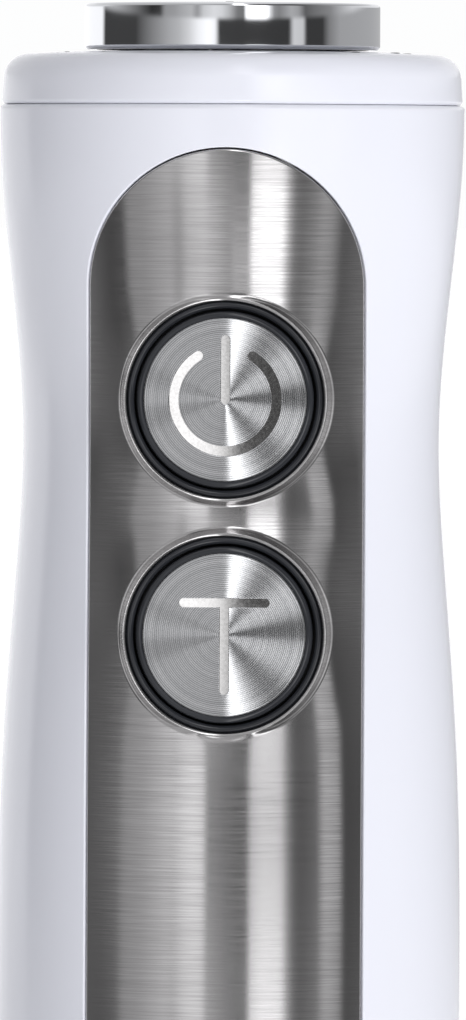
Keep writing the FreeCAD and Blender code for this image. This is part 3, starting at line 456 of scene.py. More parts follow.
# %% [markdown]
# ## Surfaces with holes
# The shells, the front panel and the bell are thin curved sheets with openings. Boolean cuts would leave long
# thin triangles that spoil a reflection. Here each sheet is planned flat, as outlines and evenly spread points,
# joined by a Delaunay triangulation that respects the outlines, and only then bent into place. The edges get
# extra rows of points on a quarter circle, so every rim is rolled over like pressed metal or moulded plastic,
# and the normals come from the surface's own formula, so reflections stay clean.

# %% Sheet helpers
ROLL_SHARES = (0.0, 0.04, 0.13, 0.29, 0.5, 0.74, 1.0)


def left_of(loop):
    """Unit vectors square to a closed loop, on its left-hand side."""
    along = np.roll(loop, -1, 0) - np.roll(loop, 1, 0)
    left = np.stack([-along[:, 1], along[:, 0]], 1)
    return left / np.linalg.norm(left, axis=1)[:, None]


def inside(points, loop):
    """Which points lie inside a closed loop, by counting crossings."""
    x, y = points.T
    ax, ay = (loop[:, k][:, None] for k in (0, 1))
    bx, by = (np.roll(loop, -1, 0)[:, k][:, None] for k in (0, 1))
    crosses = (ay > y) != (by > y)
    rise = np.where(by == ay, 1.0, by - ay)
    return (crosses & (x < ax + (y - ay) * (bx - ax) / rise)).sum(0) % 2 == 1


def far_from(points, others, gap):
    """Which points are further than a gap from every one of the others."""
    tree = KDTree(len(others))
    for k, (x, y) in enumerate(others):
        tree.insert((x, y, 0), k)
    tree.balance()
    return np.array([tree.find((x, y, 0))[2] > gap for x, y in points])


def sheet(name, loops, place, spacing, thickness, extra=(), back=None, lean=None):
    """A closed thin sheet. loops: (points, roll) with the outer loop first and anticlockwise, holes clockwise.
    place: flat points in mm to points in space. back: where the far skin lies, if not straight behind."""
    flat, drop, tilt = [], [], []
    for loop, roll in loops:
        left, roll = left_of(loop), np.broadcast_to(np.asarray(roll, float), len(loop))
        for share in ROLL_SHARES if roll.max() > 0 else (0.0,):
            flat.append(loop + left * (roll * share)[:, None])
            drop.append(roll - roll * np.sqrt(1 - (1 - share) ** 2))
            tilt.append(-left * ((1 - share) * (roll > 0))[:, None])
    edge_points = np.concatenate(flat)
    outer = loops[0][0]
    low, high = outer.min(0), outer.max(0)
    grid = np.stack(np.meshgrid(np.arange(low[0], high[0], spacing),
                                np.arange(low[1], high[1], spacing)), -1).reshape(-1, 2)
    grid[:, 0] += (np.round((grid[:, 1] - low[1]) / spacing) % 2) * spacing / 2
    if len(extra):
        edge_points = np.concatenate([edge_points, extra])
        drop.append(np.zeros(len(extra)))
        tilt.append(np.zeros((len(extra), 2)))
    grid = grid[inside(grid, outer)]
    grid = grid[far_from(grid, edge_points, spacing * 0.55)]
    flat = np.concatenate([edge_points, grid])
    drop = np.concatenate(drop + [np.zeros(len(grid))])
    tilt = np.concatenate(tilt + [np.zeros((len(grid), 2))])
    edges, start = [], 0
    for loop, roll in loops:
        count = len(loop)
        edges += [(start + k, start + (k + 1) % count) for k in range(count)]
        start += count * (len(ROLL_SHARES) if np.max(roll) > 0 else 1)
    spots, _, faces, source, _, _ = delaunay_2d_cdt([Vector(p) for p in flat.tolist()], edges, [], 0, 1e-7)
    order = np.array([s[0] for s in source])
    flat, drop, tilt = flat[order], drop[order], tilt[order]
    faces = np.array([f for f in faces])
    middle = flat[faces].mean(1)
    kept = inside(middle, outer)
    for loop, _ in loops[1:]:
        kept &= ~inside(middle, loop)
    faces = faces[kept]
    a, b, c = (flat[faces[:, k]] for k in range(3))
    area = (b[:, 0] - a[:, 0]) * (c[:, 1] - a[:, 1]) - (b[:, 1] - a[:, 1]) * (c[:, 0] - a[:, 0])
    faces[area < 0] = faces[area < 0][:, ::-1]
    faces = faces[np.abs(area) > 1e-9]
    return bent_sheet(name, flat, drop, tilt, faces, place, thickness, back, lean)


def unit(vectors):
    return vectors / np.maximum(np.linalg.norm(vectors, axis=1), 1e-12)[:, None]


def bent_sheet(name, flat, drop, tilt, faces, place, thickness, back, lean):
    """Bends the flat plan into place, adds the far skin and the edges between, and sets the normals."""
    step = 0.01
    at = place(flat)
    along_u = (place(flat + (step, 0)) - place(flat - (step, 0))) / (2 * step)
    along_v = (place(flat + (0, step)) - place(flat - (0, step))) / (2 * step)
    square = unit(np.cross(along_u, along_v))
    sideways = along_u * tilt[:, :1] + along_v * tilt[:, 1:]
    amount = np.linalg.norm(tilt, axis=1)[:, None]
    sideways = unit(sideways) * amount
    near = at - square * drop[:, None]
    near_normal = unit(square * np.sqrt(1 - np.minimum(amount, 1) ** 2) + sideways)
    if lean is not None:
        near_normal = unit(near_normal + lean(flat) * (amount < 0.01))
    far = back(flat, at, square) if back else at - square * thickness
    _, first, same = np.unique(np.round(near, 4), axis=0, return_index=True, return_inverse=True)
    same = same.reshape(-1)
    faces = same[faces]
    near, far, near_normal, square = near[first], far[first], near_normal[first], square[first]
    flat = flat[first]
    directed = {(int(f[k]), int(f[(k + 1) % 3])) for f in faces for k in range(3)}
    rim = [(a, b) for a, b in directed if (b, a) not in directed]
    count = len(near)
    rim_faces = [(b, a, a + count, b + count) for a, b in sorted(rim)]
    all_faces = faces.tolist() + (faces[:, ::-1] + count).tolist() + rim_faces
    mesh = bpy.data.meshes.new(name)
    mesh.from_pydata((np.concatenate([near, far]) * MM).tolist(), [], all_faces)
    normals = [near_normal[faces].reshape(-1, 3), -square[faces[:, ::-1]].reshape(-1, 3)]
    for a, b in sorted(rim):
        wall = np.cross(near[a] - near[b], far[b] - near[b])
        if np.linalg.norm(wall) < 1e-12:
            wall = near_normal[a]
        wall = wall / np.linalg.norm(wall)
        blend = [near_normal[k] if near_normal[k] @ wall > 0.8 else wall for k in (b, a)]
        normals.append(np.array([blend[0], blend[1], blend[1], blend[0]]))
    mesh.polygons.foreach_set("use_smooth", [True] * len(mesh.polygons))
    layer = mesh.uv_layers.new(name="UVMap")
    corner = np.empty(len(mesh.loops), int)
    mesh.loops.foreach_get("vertex_index", corner)
    layer.uv.foreach_set("vector", (flat[corner % count] * MM).astype(np.float32).reshape(-1))
    mesh.normals_split_custom_set(np.concatenate(normals).tolist())
    return add_object(name, mesh)


def arc_points(centre, radius, start, stop, count):
    angles = np.radians(np.linspace(start, stop, count))
    return np.stack([centre[0] + radius * np.cos(angles), centre[1] + radius * np.sin(angles)], 1)


def spread(points, step):
    """The same closed outline with extra points, so that no run is longer than the step."""
    filled = []
    for a, b in zip(points, np.roll(points, -1, 0)):
        count = max(1, int(math.ceil(np.linalg.norm(b - a) / step)))
        filled += [a + (b - a) * k / count for k in range(count)]
    return np.array(filled)


def slot_loop(half_width, low, high, step):
    """An upright slot with round ends, anticlockwise."""
    ends = max(8, int(math.pi * half_width / step))
    top = arc_points((0, high - half_width), half_width, 0, 180, ends)
    bottom = arc_points((0, low + half_width), half_width, 180, 360, ends)
    return spread(np.concatenate([top, bottom]), step)


def circle_loop(centre, radius, count):
    return arc_points(centre, radius, 0, 360, count + 1)[:-1]


def rings_round(centre, radii, count):
    """Circles of points round a centre, for a sheet to use where its shape changes quickly."""
    return np.concatenate([circle_loop(centre, r, count) for r in radii])


print("edge rows on each rolled rim:", len(ROLL_SHARES))

# %% [markdown]
# ## The handle's outline
# The handle is nearly round, waisted where the hand closes and fuller over the motor. Its radius is known at
# eleven heights. A natural cubic spline joins them as a bent lath would, with no corners to catch the light.

# %% Handle outline
HANDLE_OUTLINE = (   # radius and height in mm
    (26.0, 186.0), (27.6, 206.0), (28.6, 232.0), (28.9, 262.0), (28.4, 297.4),
    (26.8, 319.9), (26.0, 337.0), (27.2, 353.7), (28.7, 368.7), (29.0, 377.3), (29.0, 380.0),
)
FOOT_OUTLINE = (
    (18.2, 46.0), (15.2, 58.0), (13.9, 82.0), (14.4, 118.0), (16.6, 145.0), (20.6, 165.0), (24.7, 177.6),
)


def lath(knots):
    """A natural cubic through (value, place) pairs, as a function of the place."""
    value, place = np.array(knots, float).T
    count, gap = len(place), np.diff(place)
    rows, pull = np.eye(count), np.zeros(count)
    for k in range(1, count - 1):
        rows[k, k - 1:k + 2] = gap[k - 1], 2 * (gap[k - 1] + gap[k]), gap[k]
        pull[k] = 6 * ((value[k + 1] - value[k]) / gap[k] - (value[k] - value[k - 1]) / gap[k - 1])
    bend = np.linalg.solve(rows, pull)

    def read(x):
        k = np.clip(np.searchsorted(place, x) - 1, 0, count - 2)
        after, before, h = place[k + 1] - x, x - place[k], gap[k]
        curved = (bend[k] * after ** 3 + bend[k + 1] * before ** 3) / (6 * h)
        near, far = (value[j] / h - bend[j] * h / 6 for j in (k, k + 1))
        return curved + near * after + far * before
    return read


handle_radius = lath(HANDLE_OUTLINE)
foot_radius = lath(FOOT_OUTLINE)
print("handle radius at the waist in mm:", round(float(handle_radius(337.0)), 2))

# %% [markdown]
# ## Pads that swell out of a round wall
# Each button sits in a flat round rim that stands square to the front while the wall behind it curves away. In
# pressed steel the rim runs out in a short flare. The flare is a weight, one on the rim and nought at its foot,
# that pulls the wall's points forward to the rim's plane. The cord inlet at the back is the same shape in
# plastic.

# %% Pads
PAD_FLAT, PAD_FOOT = 12.5, 13.35
SWELL, SWELL_REACH = 0.08, 5.5   # the sheet also lifts a little further out
POWER_Z, POWER_RIM = 341.8, -27.4
TURBO_Z, TURBO_RIM = 313.0, -28.0
RIM_R = 12.05


def flare_weight(distance, flat, foot):
    run = np.clip((distance - flat) / (foot - flat), 0, 1)
    eased = 1.04 * run ** 2 / (run + 0.04)
    swell = np.clip(1 - (distance - flat) / SWELL_REACH, 0, 1) ** 2
    return (1 - SWELL) * (1 - eased) ** 3 + SWELL * swell


def with_pads(x, y, z, pads):
    """Pulls points of a wall to the planes of its pads: rows of pad height, plane, flat radius, foot radius."""
    pull, target, rest = np.zeros(len(x)), np.zeros(len(x)), np.ones(len(x))
    for pad_z, plane, flat, foot in pads:
        weight = flare_weight(np.hypot(x, z - pad_z), flat, foot)
        pull += weight
        target += weight * plane
        rest *= 1 - weight
    plane = target / np.maximum(pull, 1e-9)
    return np.where(pull > 0, y * rest + plane * (1 - rest), y)


BUTTON_PADS = ((POWER_Z, POWER_RIM, PAD_FLAT, PAD_FOOT), (TURBO_Z, TURBO_RIM, PAD_FLAT, PAD_FOOT))
INLET_Z = float(centre_of("cord_grommet")[2]) / MM
INLET_PAD = ((INLET_Z, float(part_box("housing_rear")[1][1]) / MM, 6.6, 9.6),)
print("inlet height in mm:", round(INLET_Z, 1), "plane:", round(INLET_PAD[0][1], 2))

# %% [markdown]
# ## The front panel
# One pressed steel fascia, a long slot shape with a full arch at its top, lies in a shallow recess of the
# handle. It follows the handle's outline and swells out round both buttons.

# %% Front panel
PANEL_HALF, PANEL_LOW, PANEL_TOP = 17.0, 205.0, 372.5
PANEL_SINK = 0.05
FLARE_RINGS = (12.51, 12.54, 12.57, 12.61, 12.66, 12.72, 12.79, 12.87, 12.96, 13.06, 13.18, 13.35, 13.6,
               14.0, 14.6)   # circles of points round each button, close together where the wall turns


def place_panel(flat):
    x, z = flat.T
    radius = handle_radius(z) - PANEL_SINK
    y = -np.sqrt(np.maximum(radius ** 2 - x ** 2, 1))
    return np.stack([x, with_pads(x, y, z, BUTTON_PADS), z], 1)


def panel_back(flat, at, square):
    x, z = flat.T
    behind = at.copy()
    near_rim = sum(flare_weight(np.hypot(x, z - pad[0]), *pad[2:]) for pad in BUTTON_PADS)
    behind[:, 1] += 0.65 + 0.7 * np.minimum(near_rim, 1)
    return behind


def make_front_panel():
    loops = [(slot_loop(PANEL_HALF, PANEL_LOW, PANEL_TOP, 1.0), 0.28)]
    loops += [(circle_loop((0, z), RIM_R, 180)[::-1], 0.42) for z in (POWER_Z, TURBO_Z)]
    extra = np.concatenate([rings_round((0, z), FLARE_RINGS, 180) for z in (POWER_Z, TURBO_Z)])
    kept = np.abs(extra[:, 0]) < PANEL_HALF - 0.4
    for z in (POWER_Z, TURBO_Z):
        kept &= np.hypot(extra[:, 0], extra[:, 1] - z) > PAD_FLAT - 0.05
    return sheet("front_panel_steel", loops, place_panel, 1.5, 0.65, extra=extra[kept], back=panel_back)


front_panel = make_front_panel()
print("front panel triangles:", len(front_panel.data.polygons))

# %% [markdown]
# ## The white shells
# Two moulded halves meet at a fine line down the sides. Both are planned on the unrolled handle, where the
# sideways measure is the distance round a 28 mm drum, so an opening of any outline lands where it should.

# %% White shells
DRUM = 28.0
SHELL_LOW, SHELL_TOP, SHELL_WALL = 186.0, 378.0, 2.2
WINDOW_HALF, WINDOW_LOW, WINDOW_HIGH = 6.65, 187.35, 204.65
PARTING_GAP = 0.06
PANEL_GAP = 0.18
VENT_ROWS, VENT_LOW, VENT_PITCH, VENT_BEARINGS = 6, 218.0, 5.2, (-24, 24)
INLET_R = 5.4
INLET_RINGS = (6.2, 6.6, 6.68, 6.8, 6.95, 7.15, 7.4, 7.75, 8.2, 8.7, 9.2, 9.7)


def unroll(x, z, middle=0.0):
    """Where a point at a sideways distance from a bearing, and a height, falls on the drum."""
    return np.stack([(np.arcsin(x / handle_radius(z)) + middle) * DRUM, z], 1)


def place_shell(back_shell):
    def place(flat):
        angle, z = flat[:, 0] / DRUM, flat[:, 1]
        radius = handle_radius(z)
        x, y = radius * np.sin(angle), -radius * np.cos(angle)
        if back_shell:
            return np.stack([-x, with_pads(x, -y, z, INLET_PAD), z], 1)
        return np.stack([x, y, z], 1)
    return place


def shell_outline():
    """Half of the unrolled handle, notched on both sides for the release buttons, with a roll for each point."""
    dip = arc_points((0, WINDOW_LOW + WINDOW_HALF), WINDOW_HALF, 270, 180, 14)
    rise = arc_points((0, WINDOW_HIGH - WINDOW_HALF), WINDOW_HALF, 180, 90, 14)
    side = np.concatenate([[(0.0, SHELL_LOW)], dip, rise, [(0.0, SHELL_TOP)]])
    edge = math.pi / 2 - PARTING_GAP / DRUM
    right = np.stack([(np.arcsin(side[:, 0] / handle_radius(side[:, 1])) + edge) * DRUM, side[:, 1]], 1)
    left = right[::-1] * (-1, 1)
    loop = spread(np.concatenate([right, left]), 1.0)
    roll = np.full(len(loop), 0.12)
    roll[np.abs(loop[:, 0]) < edge * DRUM - 0.2] = 0.3
    roll[loop[:, 1] > SHELL_TOP - 0.01] = 0.7
    return loop, roll


def make_front_shell():
    recess = slot_loop(PANEL_HALF + PANEL_GAP, PANEL_LOW - PANEL_GAP, PANEL_TOP + PANEL_GAP, 1.0)[::-1]
    loops = [shell_outline(), (unroll(*recess.T), 0.22)]
    return sheet("shell_front", loops, place_shell(False), 1.9, SHELL_WALL)


def make_back_shell():
    loops = [shell_outline(), (unroll(*circle_loop((0, INLET_Z), INLET_R, 60)[::-1].T), 0.5)]
    for row in range(VENT_ROWS):
        z = VENT_LOW + VENT_PITCH * row
        slot = slot_loop(1.1, -9.5, 9.5, 0.7)[:, ::-1]
        for bearing in VENT_BEARINGS:
            loops.append((unroll(slot[:, 0], slot[:, 1] + z, math.radians(bearing)), 0.25))
    extra = rings_round((0, 0), INLET_RINGS, 60)
    extra = unroll(extra[:, 0], extra[:, 1] + INLET_Z)
    return sheet("shell_back", loops, place_shell(True), 1.9, SHELL_WALL, extra=extra)


front_shell, back_shell = make_front_shell(), make_back_shell()
print("shell triangles:", len(front_shell.data.polygons), len(back_shell.data.polygons))

# %% [markdown]
# ## Turned pieces by Geometry Nodes
# The cap, the dial, the trim ring, the foot's tube, the black button bodies and their collars all come off a
# lathe, in shape if not in fact: one profile swept round one axis. That is a rule, so it is a node tree. The
# profile is the modifier's own curve, a tiny circle carries it round, and named inputs give the number of
# sides and the finish.

# %% The lathe tree
HAIR = 0.001   # radius in metres of the circle that carries the profile; profiles are drawn from its edge
SHARP = math.radians(32)
SAME_POINT, NO_LENGTH = 2e-7, 1e-8   # in metres


def new_tree(name, sockets):
    """An empty tree with named inputs. Returns it with the outputs of its input node."""
    tree = bpy.data.node_groups.new(name, "GeometryNodeTree")
    for socket, kind in sockets.items():
        tree.interface.new_socket(socket, in_out="INPUT", socket_type="NodeSocket" + kind)
    tree.interface.new_socket("Piece", in_out="OUTPUT", socket_type="NodeSocketGeometry")
    return tree, tree.nodes.new("NodeGroupInput").outputs


def end_tree(tree, geometry, material):
    """Every tree ends the same way: real geometry that wears its finish."""
    real = node(tree, "GeometryNodeRealizeInstances", {"Geometry": geometry})
    worn = node(tree, "GeometryNodeSetMaterial", {"Geometry": real, "Material": material})
    node(tree, "NodeGroupOutput", {"Piece": worn})
    return tree


def make_lathe_tree():
    tree, given = new_tree("Turned piece", {"Profile": "Geometry", "Sides": "Int", "Finish": "Material"})
    circle = node(tree, "GeometryNodeCurvePrimitiveCircle", {"Resolution": given["Sides"], "Radius": HAIR},
                  mode="RADIUS")
    upright = node(tree, "GeometryNodeSetCurveNormal", {"Curve": circle}, mode="Z_UP")
    swept = node(tree, "GeometryNodeCurveToMesh", {"Curve": upright, "Profile Curve": given["Profile"]})
    return end_tree(tree, swept, given["Finish"])


def rounded(corners, steps=7):
    """A closed profile of (radius, height) corners, those with a third number rounded to that radius."""
    points = []
    count = len(corners)
    for k, corner in enumerate(corners):
        here = np.array(corner[:2], float)
        if len(corner) < 3:
            points.append(here)
            continue
        back = np.array(corners[k - 1][:2], float) - here
        on = np.array(corners[(k + 1) % count][:2], float) - here
        back, on = back / np.linalg.norm(back), on / np.linalg.norm(on)
        half = math.acos(float(np.clip(back @ on, -1, 1))) / 2
        centre = here + (back + on) / np.linalg.norm(back + on) * corner[2] / math.sin(half)
        reach = corner[2] / math.tan(half)
        first, last = here + back * reach - centre, here + on * reach - centre
        sweep = math.pi - 2 * half
        for step in range(steps):
            share = step / (steps - 1)
            arm = (math.sin((1 - share) * sweep) * first + math.sin(share * sweep) * last) / math.sin(sweep)
            points.append(centre + arm)
    return np.array(points)


lathe_tree = make_lathe_tree()


def grown(name, data, tree, values):
    """Gives a curve or a mesh to a node tree, sets the tree's inputs, and keeps the result as a plain mesh."""
    source = add_object(name, data)
    modifier = source.modifiers.new(tree.name, "NODES")
    modifier.node_group = tree
    identifiers = {item.name: item.identifier for item in tree.interface.items_tree}
    for socket, value in values.items():
        modifier[identifiers[socket]] = value
    bpy.context.view_layer.update()
    graph = bpy.context.evaluated_depsgraph_get()
    mesh = bpy.data.meshes.new_from_object(source.evaluated_get(graph))
    mesh.name = name
    bpy.data.objects.remove(source, do_unlink=True)
    return add_object(name, mesh)


def tidy_mesh(mesh):
    """Merges the points on the axis, closes the poles and turns every face outwards."""
    work = bmesh.new()
    work.from_mesh(mesh)
    bmesh.ops.remove_doubles(work, verts=work.verts, dist=SAME_POINT)
    bmesh.ops.dissolve_degenerate(work, edges=work.edges, dist=NO_LENGTH)
    bmesh.ops.recalc_face_normals(work, faces=work.faces)
    if work.calc_volume(signed=True) < 0:
        bmesh.ops.reverse_faces(work, faces=work.faces)
    work.to_mesh(mesh)
    work.free()
    mesh.polygons.foreach_set("use_smooth", [True] * len(mesh.polygons))
    mesh.set_sharp_from_angle(angle=SHARP)


def turned(name, profile, material, sides=160, axis="Z", height=0.0):
    """A piece turned round Z, or round a line along Y at a height; its profile's height is then minus y."""
    curve = bpy.data.curves.new(name, "CURVE")
    curve.dimensions = "3D"
    spline = curve.splines.new("POLY")
    spline.points.add(len(profile) - 1)
    for point, (radius, z) in zip(spline.points, profile):
        point.co = (radius * MM - HAIR, -z * MM, 0, 1)
    spline.use_cyclic_u = True
    piece = grown(name, curve, lathe_tree, {"Sides": sides, "Finish": material})
    if axis == "Y":
        piece.data.transform(Matrix.Rotation(math.pi / 2, 4, "X"))
        piece.data.transform(Matrix.Translation((0, 0, height * MM)))
    tidy_mesh(piece.data)
    return piece


print("lathe tree ready")

# %% [markdown]
# ## The cap and the dial
# The white cap closes the handle with a soft shoulder. The dial is a chromed cup with a tight rounded edge and
# a barely domed top. A small inlaid pointer tells its setting.

# %% Cap, dial and trim ring
SEAM_Z, CAP_TOP, DIAL_TOP = 378.05, 384.6, 390.8
CAP_PROFILE = (
    (3.65, CAP_TOP), (3.65, 382.4), (23.6, 382.4), (25.0, 380.2), (25.0, 374.0), (26.5, 374.0),
    (26.5, SEAM_Z), (28.45, SEAM_Z), (28.76, 378.45, 0.35), (28.42, 384.12, 3.1), (19.2, CAP_TOP, 30.0),
)
DIAL_PROFILE = (
    (0.0, DIAL_TOP), (0.0, 389.4), (17.0, 389.1), (17.0, 384.85), (18.05, 384.85), (18.45, 385.25, 0.3),
    (18.45, 390.6, 0.5), (13.0, 390.76, 40.0),
)
TRIM_PROFILE = (
    (24.3, 185.9), (24.3, 178.2), (24.6, 178.0), (25.2, 178.0, 0.25), (25.42, 178.5, 0.3),
    (25.98, 185.7, 0.2), (25.75, 185.9),
)

top_cap = turned("top_cap_white", rounded(CAP_PROFILE), white_plastic)
speed_dial = turned("speed_dial_chrome", rounded(DIAL_PROFILE), chrome)
trim_ring = turned("trim_ring_steel", rounded(TRIM_PROFILE), foot_steel)
print("cap, dial and trim faces:", [len(p.data.polygons) for p in (top_cap, speed_dial, trim_ring)])

# %% [markdown]
# ## The foot
# The foot's tube is drawn from one sheet: narrow below, flaring like a trumpet to meet the handle. It is the
# longest turned piece of all, so its profile is read off the same kind of spline as the handle's.

# %% Foot tube
FOOT_SHEET = 0.8
FOOT_LIP = ((24.55, 177.7), (24.3, 177.72))


def foot_profile():
    heights = np.linspace(FOOT_OUTLINE[0][1], FOOT_OUTLINE[-1][1], 90)
    outside = np.stack([foot_radius(heights), heights], 1)
    inner = outside[::-1] - (FOOT_SHEET, 0)
    return np.concatenate([outside, FOOT_LIP, inner])


foot_tube = turned("foot_tube_steel", foot_profile(), foot_steel)
print("foot tube faces:", len(foot_tube.data.polygons))

# %% [markdown]
# ## The bell
# The bell round the blade is pressed steel with four arched windows that let the food through. It is a sheet
# planned on its unrolled profile, sideways round the bell and upwards along its own slope, and its edges roll
# over like the panel's. A turned bead makes the foot it stands on.

# %% Bell
BELL_OUTLINE = ((31.9, 3.0), (31.2, 17.0), (27.0, 31.0), (21.4, 40.0), (18.2, 46.0))
BELL_DRUM = 30.0
WINDOWS, ARCH_R, ARCH_Z, SILL_Z = 4, 5.5, 10.5, 7.0
bell_radius = lath(BELL_OUTLINE)


def place_bell(flat):
    angle, z = flat[:, 0] / BELL_DRUM, flat[:, 1]
    radius = bell_radius(z)
    return np.stack([radius * np.sin(angle), -radius * np.cos(angle), z], 1)


def make_bell():
    half = math.pi * BELL_DRUM
    low, high = BELL_OUTLINE[0][1], BELL_OUTLINE[-1][1]
    corners = np.array([(-half, low), (half, low), (half, high), (-half, high)])
    loops = [(spread(corners, 1.4), 0.0)]
    arch = np.concatenate([arc_points((0, ARCH_Z), ARCH_R, 0, 180, 16), [(-ARCH_R, SILL_Z), (ARCH_R, SILL_Z)]])
    arch = spread(arch, 0.8)[::-1]
    for k in range(WINDOWS):
        u = (np.arcsin(arch[:, 0] / bell_radius(arch[:, 1])) + (k - 1.5) * math.pi / 2) * BELL_DRUM
        loops.append((np.stack([u, arch[:, 1]], 1), 0.35))
    bell = sheet("bell_steel", loops, place_bell, 1.7, FOOT_SHEET)
    bell.data.transform(Matrix.Rotation(math.pi / 4, 4, "Z"))
    return bell


bell = make_bell()
BEAD_PROFILE = ((30.3, 0.9, 0.5), (30.9, 0.0, 0.5), (32.1, 0.0, 0.7), (32.9, 1.4, 1.0), (31.95, 3.4, 0.3),
                (31.0, 3.4, 0.3))
bell_bead = turned("bell_bead_steel", rounded(BEAD_PROFILE), foot_steel)
print("bell triangles:", len(bell.data.polygons))

# %% [markdown]
# ## The buttons
# Each button is a black glossy body in a black collar, with a spun metal disc let into its face. The rings
# that show between the metal and the steel rim are the body's rounded edge, a fine gap, and the collar.

# %% Button bodies and collars
DISC_R, BODY_R = 10.0, 10.85


def black_turned(name, z, corners):
    return turned(name, rounded(corners), finishes["button_black"], sides=128, axis="Y", height=z)


def make_button(name, z, rim):
    """The profile's height is minus y, so the rim's plane is at -rim."""
    face = -rim
    return black_turned(name, z, (
        (0.0, face - 0.62), (DISC_R + 0.03, face - 0.62), (DISC_R + 0.03, face + 0.1, 0.12),
        (BODY_R, face + 0.1, 0.6), (BODY_R, face - 3.4), (3.0, face - 3.4), (3.0, 16.6), (1.9, 16.6),
        (1.9, 12.8), (0.0, 12.8)))


def make_collar(name, z, rim):
    face = -rim
    return black_turned(name, z, (
        (11.15, face - 0.9, 0.3), (11.15, face - 7.2), (3.3, face - 7.2), (3.3, face - 8.6), (12.03, face - 8.6),
        (12.03, face - 0.75, 0.35), (11.55, face - 0.7, 0.4)))


BUTTONS = (("power", POWER_Z, POWER_RIM), ("turbo", TURBO_Z, TURBO_RIM))
power_body, turbo_body = (make_button(f"{which}_button_black", z, rim) for which, z, rim in BUTTONS)
power_collar, turbo_collar = (make_collar(f"{which}_collar_black", z, rim) for which, z, rim in BUTTONS)
print("button body faces:", len(power_body.data.polygons))

# %% [markdown]
# ## The discs and their marks
# A disc is flat sheet with its mark cut through, on top of a small polished inlay that shows in the cut. The
# edges of the cut are rolled, which draws the thin bright line round a mark. A facing tool cuts rings that are
# steeper on one side than on the other. The rings are too fine to model, so the face is flat here and its
# normals lean outwards instead, by RING_LEAN. That is why a spun disc shows light wedges on one side of its
# centre and not on the other. The inlay's normals lean too, less, the way a polished face that isn't quite
# flat would.

# %% Discs
RING_LEAN = math.tan(math.radians(21.0))
INLAY_LEAN, INLAY_TURN = 0.0105, 0.083   # more to the right for each mm that way, and all of it to the left
FACE_SINK, MARK_DEPTH = 0.4, 0.24        # behind the rim's plane, and from the face down to the inlay
INLAY_R = 8.6


def power_mark():
    """An open ring with round ends and an upright bar, as clockwise outlines round the disc's centre."""
    gap, inner, outer = 31.8, 5.7, 6.9
    middle, half = (inner + outer) / 2, (outer - inner) / 2
    turn = math.radians(gap)
    ends = [middle * np.array((math.sin(s * turn), math.cos(s * turn))) for s in (1, -1)]
    big = arc_points((0, 0), outer, 90 - gap, 90 - gap - (360 - 2 * gap), 90)
    left_end = arc_points(ends[1], half, 90 + gap, 90 + gap - 180, 10)[1:-1]
    small = arc_points((0, 0), inner, 90 + gap, 90 + gap + (360 - 2 * gap), 80)
    right_end = arc_points(ends[0], half, 270 - gap, 90 - gap, 10)[1:-1]
    ring = np.concatenate([big, left_end, small, right_end])
    return [ring, slot_loop(0.55, -0.55, 7.9, 0.35)[::-1]]


def turbo_mark():
    """A plain upright T with round ends."""
    half, top, bottom, reach = 0.55, 3.95, -7.3, 5.55
    right = arc_points((reach - half, top), half, 90, -90, 9)
    foot = arc_points((0, bottom + half), half, 0, -180, 9)
    left = arc_points((half - reach, top), half, 270, 90, 9)
    corners = np.concatenate([right, [(half, top - half)], foot, [(-half, top - half)], left])
    return [spread(corners, 0.35)]


def flat_at(y):
    """Lays a plan upright, square to the front, at a distance y."""
    def place(flat):
        return np.stack([flat[:, 0], np.full(len(flat), y), flat[:, 1]], 1)
    return place


def make_disc(name, z, rim, marks):
    def lean(flat):
        out = flat - (0, z)
        out = out / np.maximum(np.linalg.norm(out, axis=1), 0.4)[:, None]
        return np.stack([out[:, 0], np.zeros(len(out)), out[:, 1]], 1) * RING_LEAN

    loops = [(circle_loop((0, z), DISC_R, 130), 0.25)]
    loops += [(mark + (0, z), 0.09) for mark in marks]
    return sheet(name, loops, flat_at(rim - FACE_SINK), 0.8, 0.34, lean=lean)


def make_inlay(name, z, rim):
    """The polished floor seen in a mark: one thin disc under the spun one."""
    def lean(flat):
        side = flat[:, 0] * INLAY_LEAN - INLAY_TURN
        return np.stack([side, np.zeros(len(flat)), np.zeros(len(flat))], 1)

    loops = [(circle_loop((0, z), INLAY_R, 90), 0.0)]
    return sheet(name, loops, flat_at(rim - FACE_SINK + MARK_DEPTH), 0.7, 0.5, lean=lean)


power_disc, turbo_disc = (make_disc(f"{which}_disc_spun", z, rim, marks) for (which, z, rim), marks
                          in zip(BUTTONS, (power_mark(), turbo_mark())))
power_inlay, turbo_inlay = (make_inlay(f"{which}_mark_inlay", z, rim) for which, z, rim in BUTTONS)
print("disc triangles:", len(power_disc.data.polygons), len(turbo_disc.data.polygons))

# %% [markdown]
# ## Release buttons
# An oval pad in each side of the handle unlocks the foot. It stands a little proud, follows the handle's
# curve, and has four ribs for the thumb. The ribs are one small rounded bar, repeated by Geometry Nodes along
# a line of points that are then pushed out to the pad's own surface.

# %% Ribs tree
def repeat(tree, points, piece, **more):
    """Puts a copy of a piece on each point."""
    return node(tree, "GeometryNodeInstanceOnPoints", {"Points": points, "Instance": piece, **more})


def make_ribs_tree():
    tree, given = new_tree("Grip ribs", {"Bar": "Geometry", "Count": "Int", "Pitch": "Float",
                                         "Finish": "Material"})
    step = node(tree, "ShaderNodeCombineXYZ", {"Z": given["Pitch"]})
    line = node(tree, "GeometryNodeMeshLine", {"Count": given["Count"], "Offset": step})
    return end_tree(tree, repeat(tree, line, given["Bar"]), given["Finish"])


ribs_tree = make_ribs_tree()
RELEASE_PROUD, RIB_R, RIB_HALF, RIB_PITCH, RIB_LOW, RIB_LIFT = 0.9, 0.45, 4.2, 3.0, 191.5, 0.05


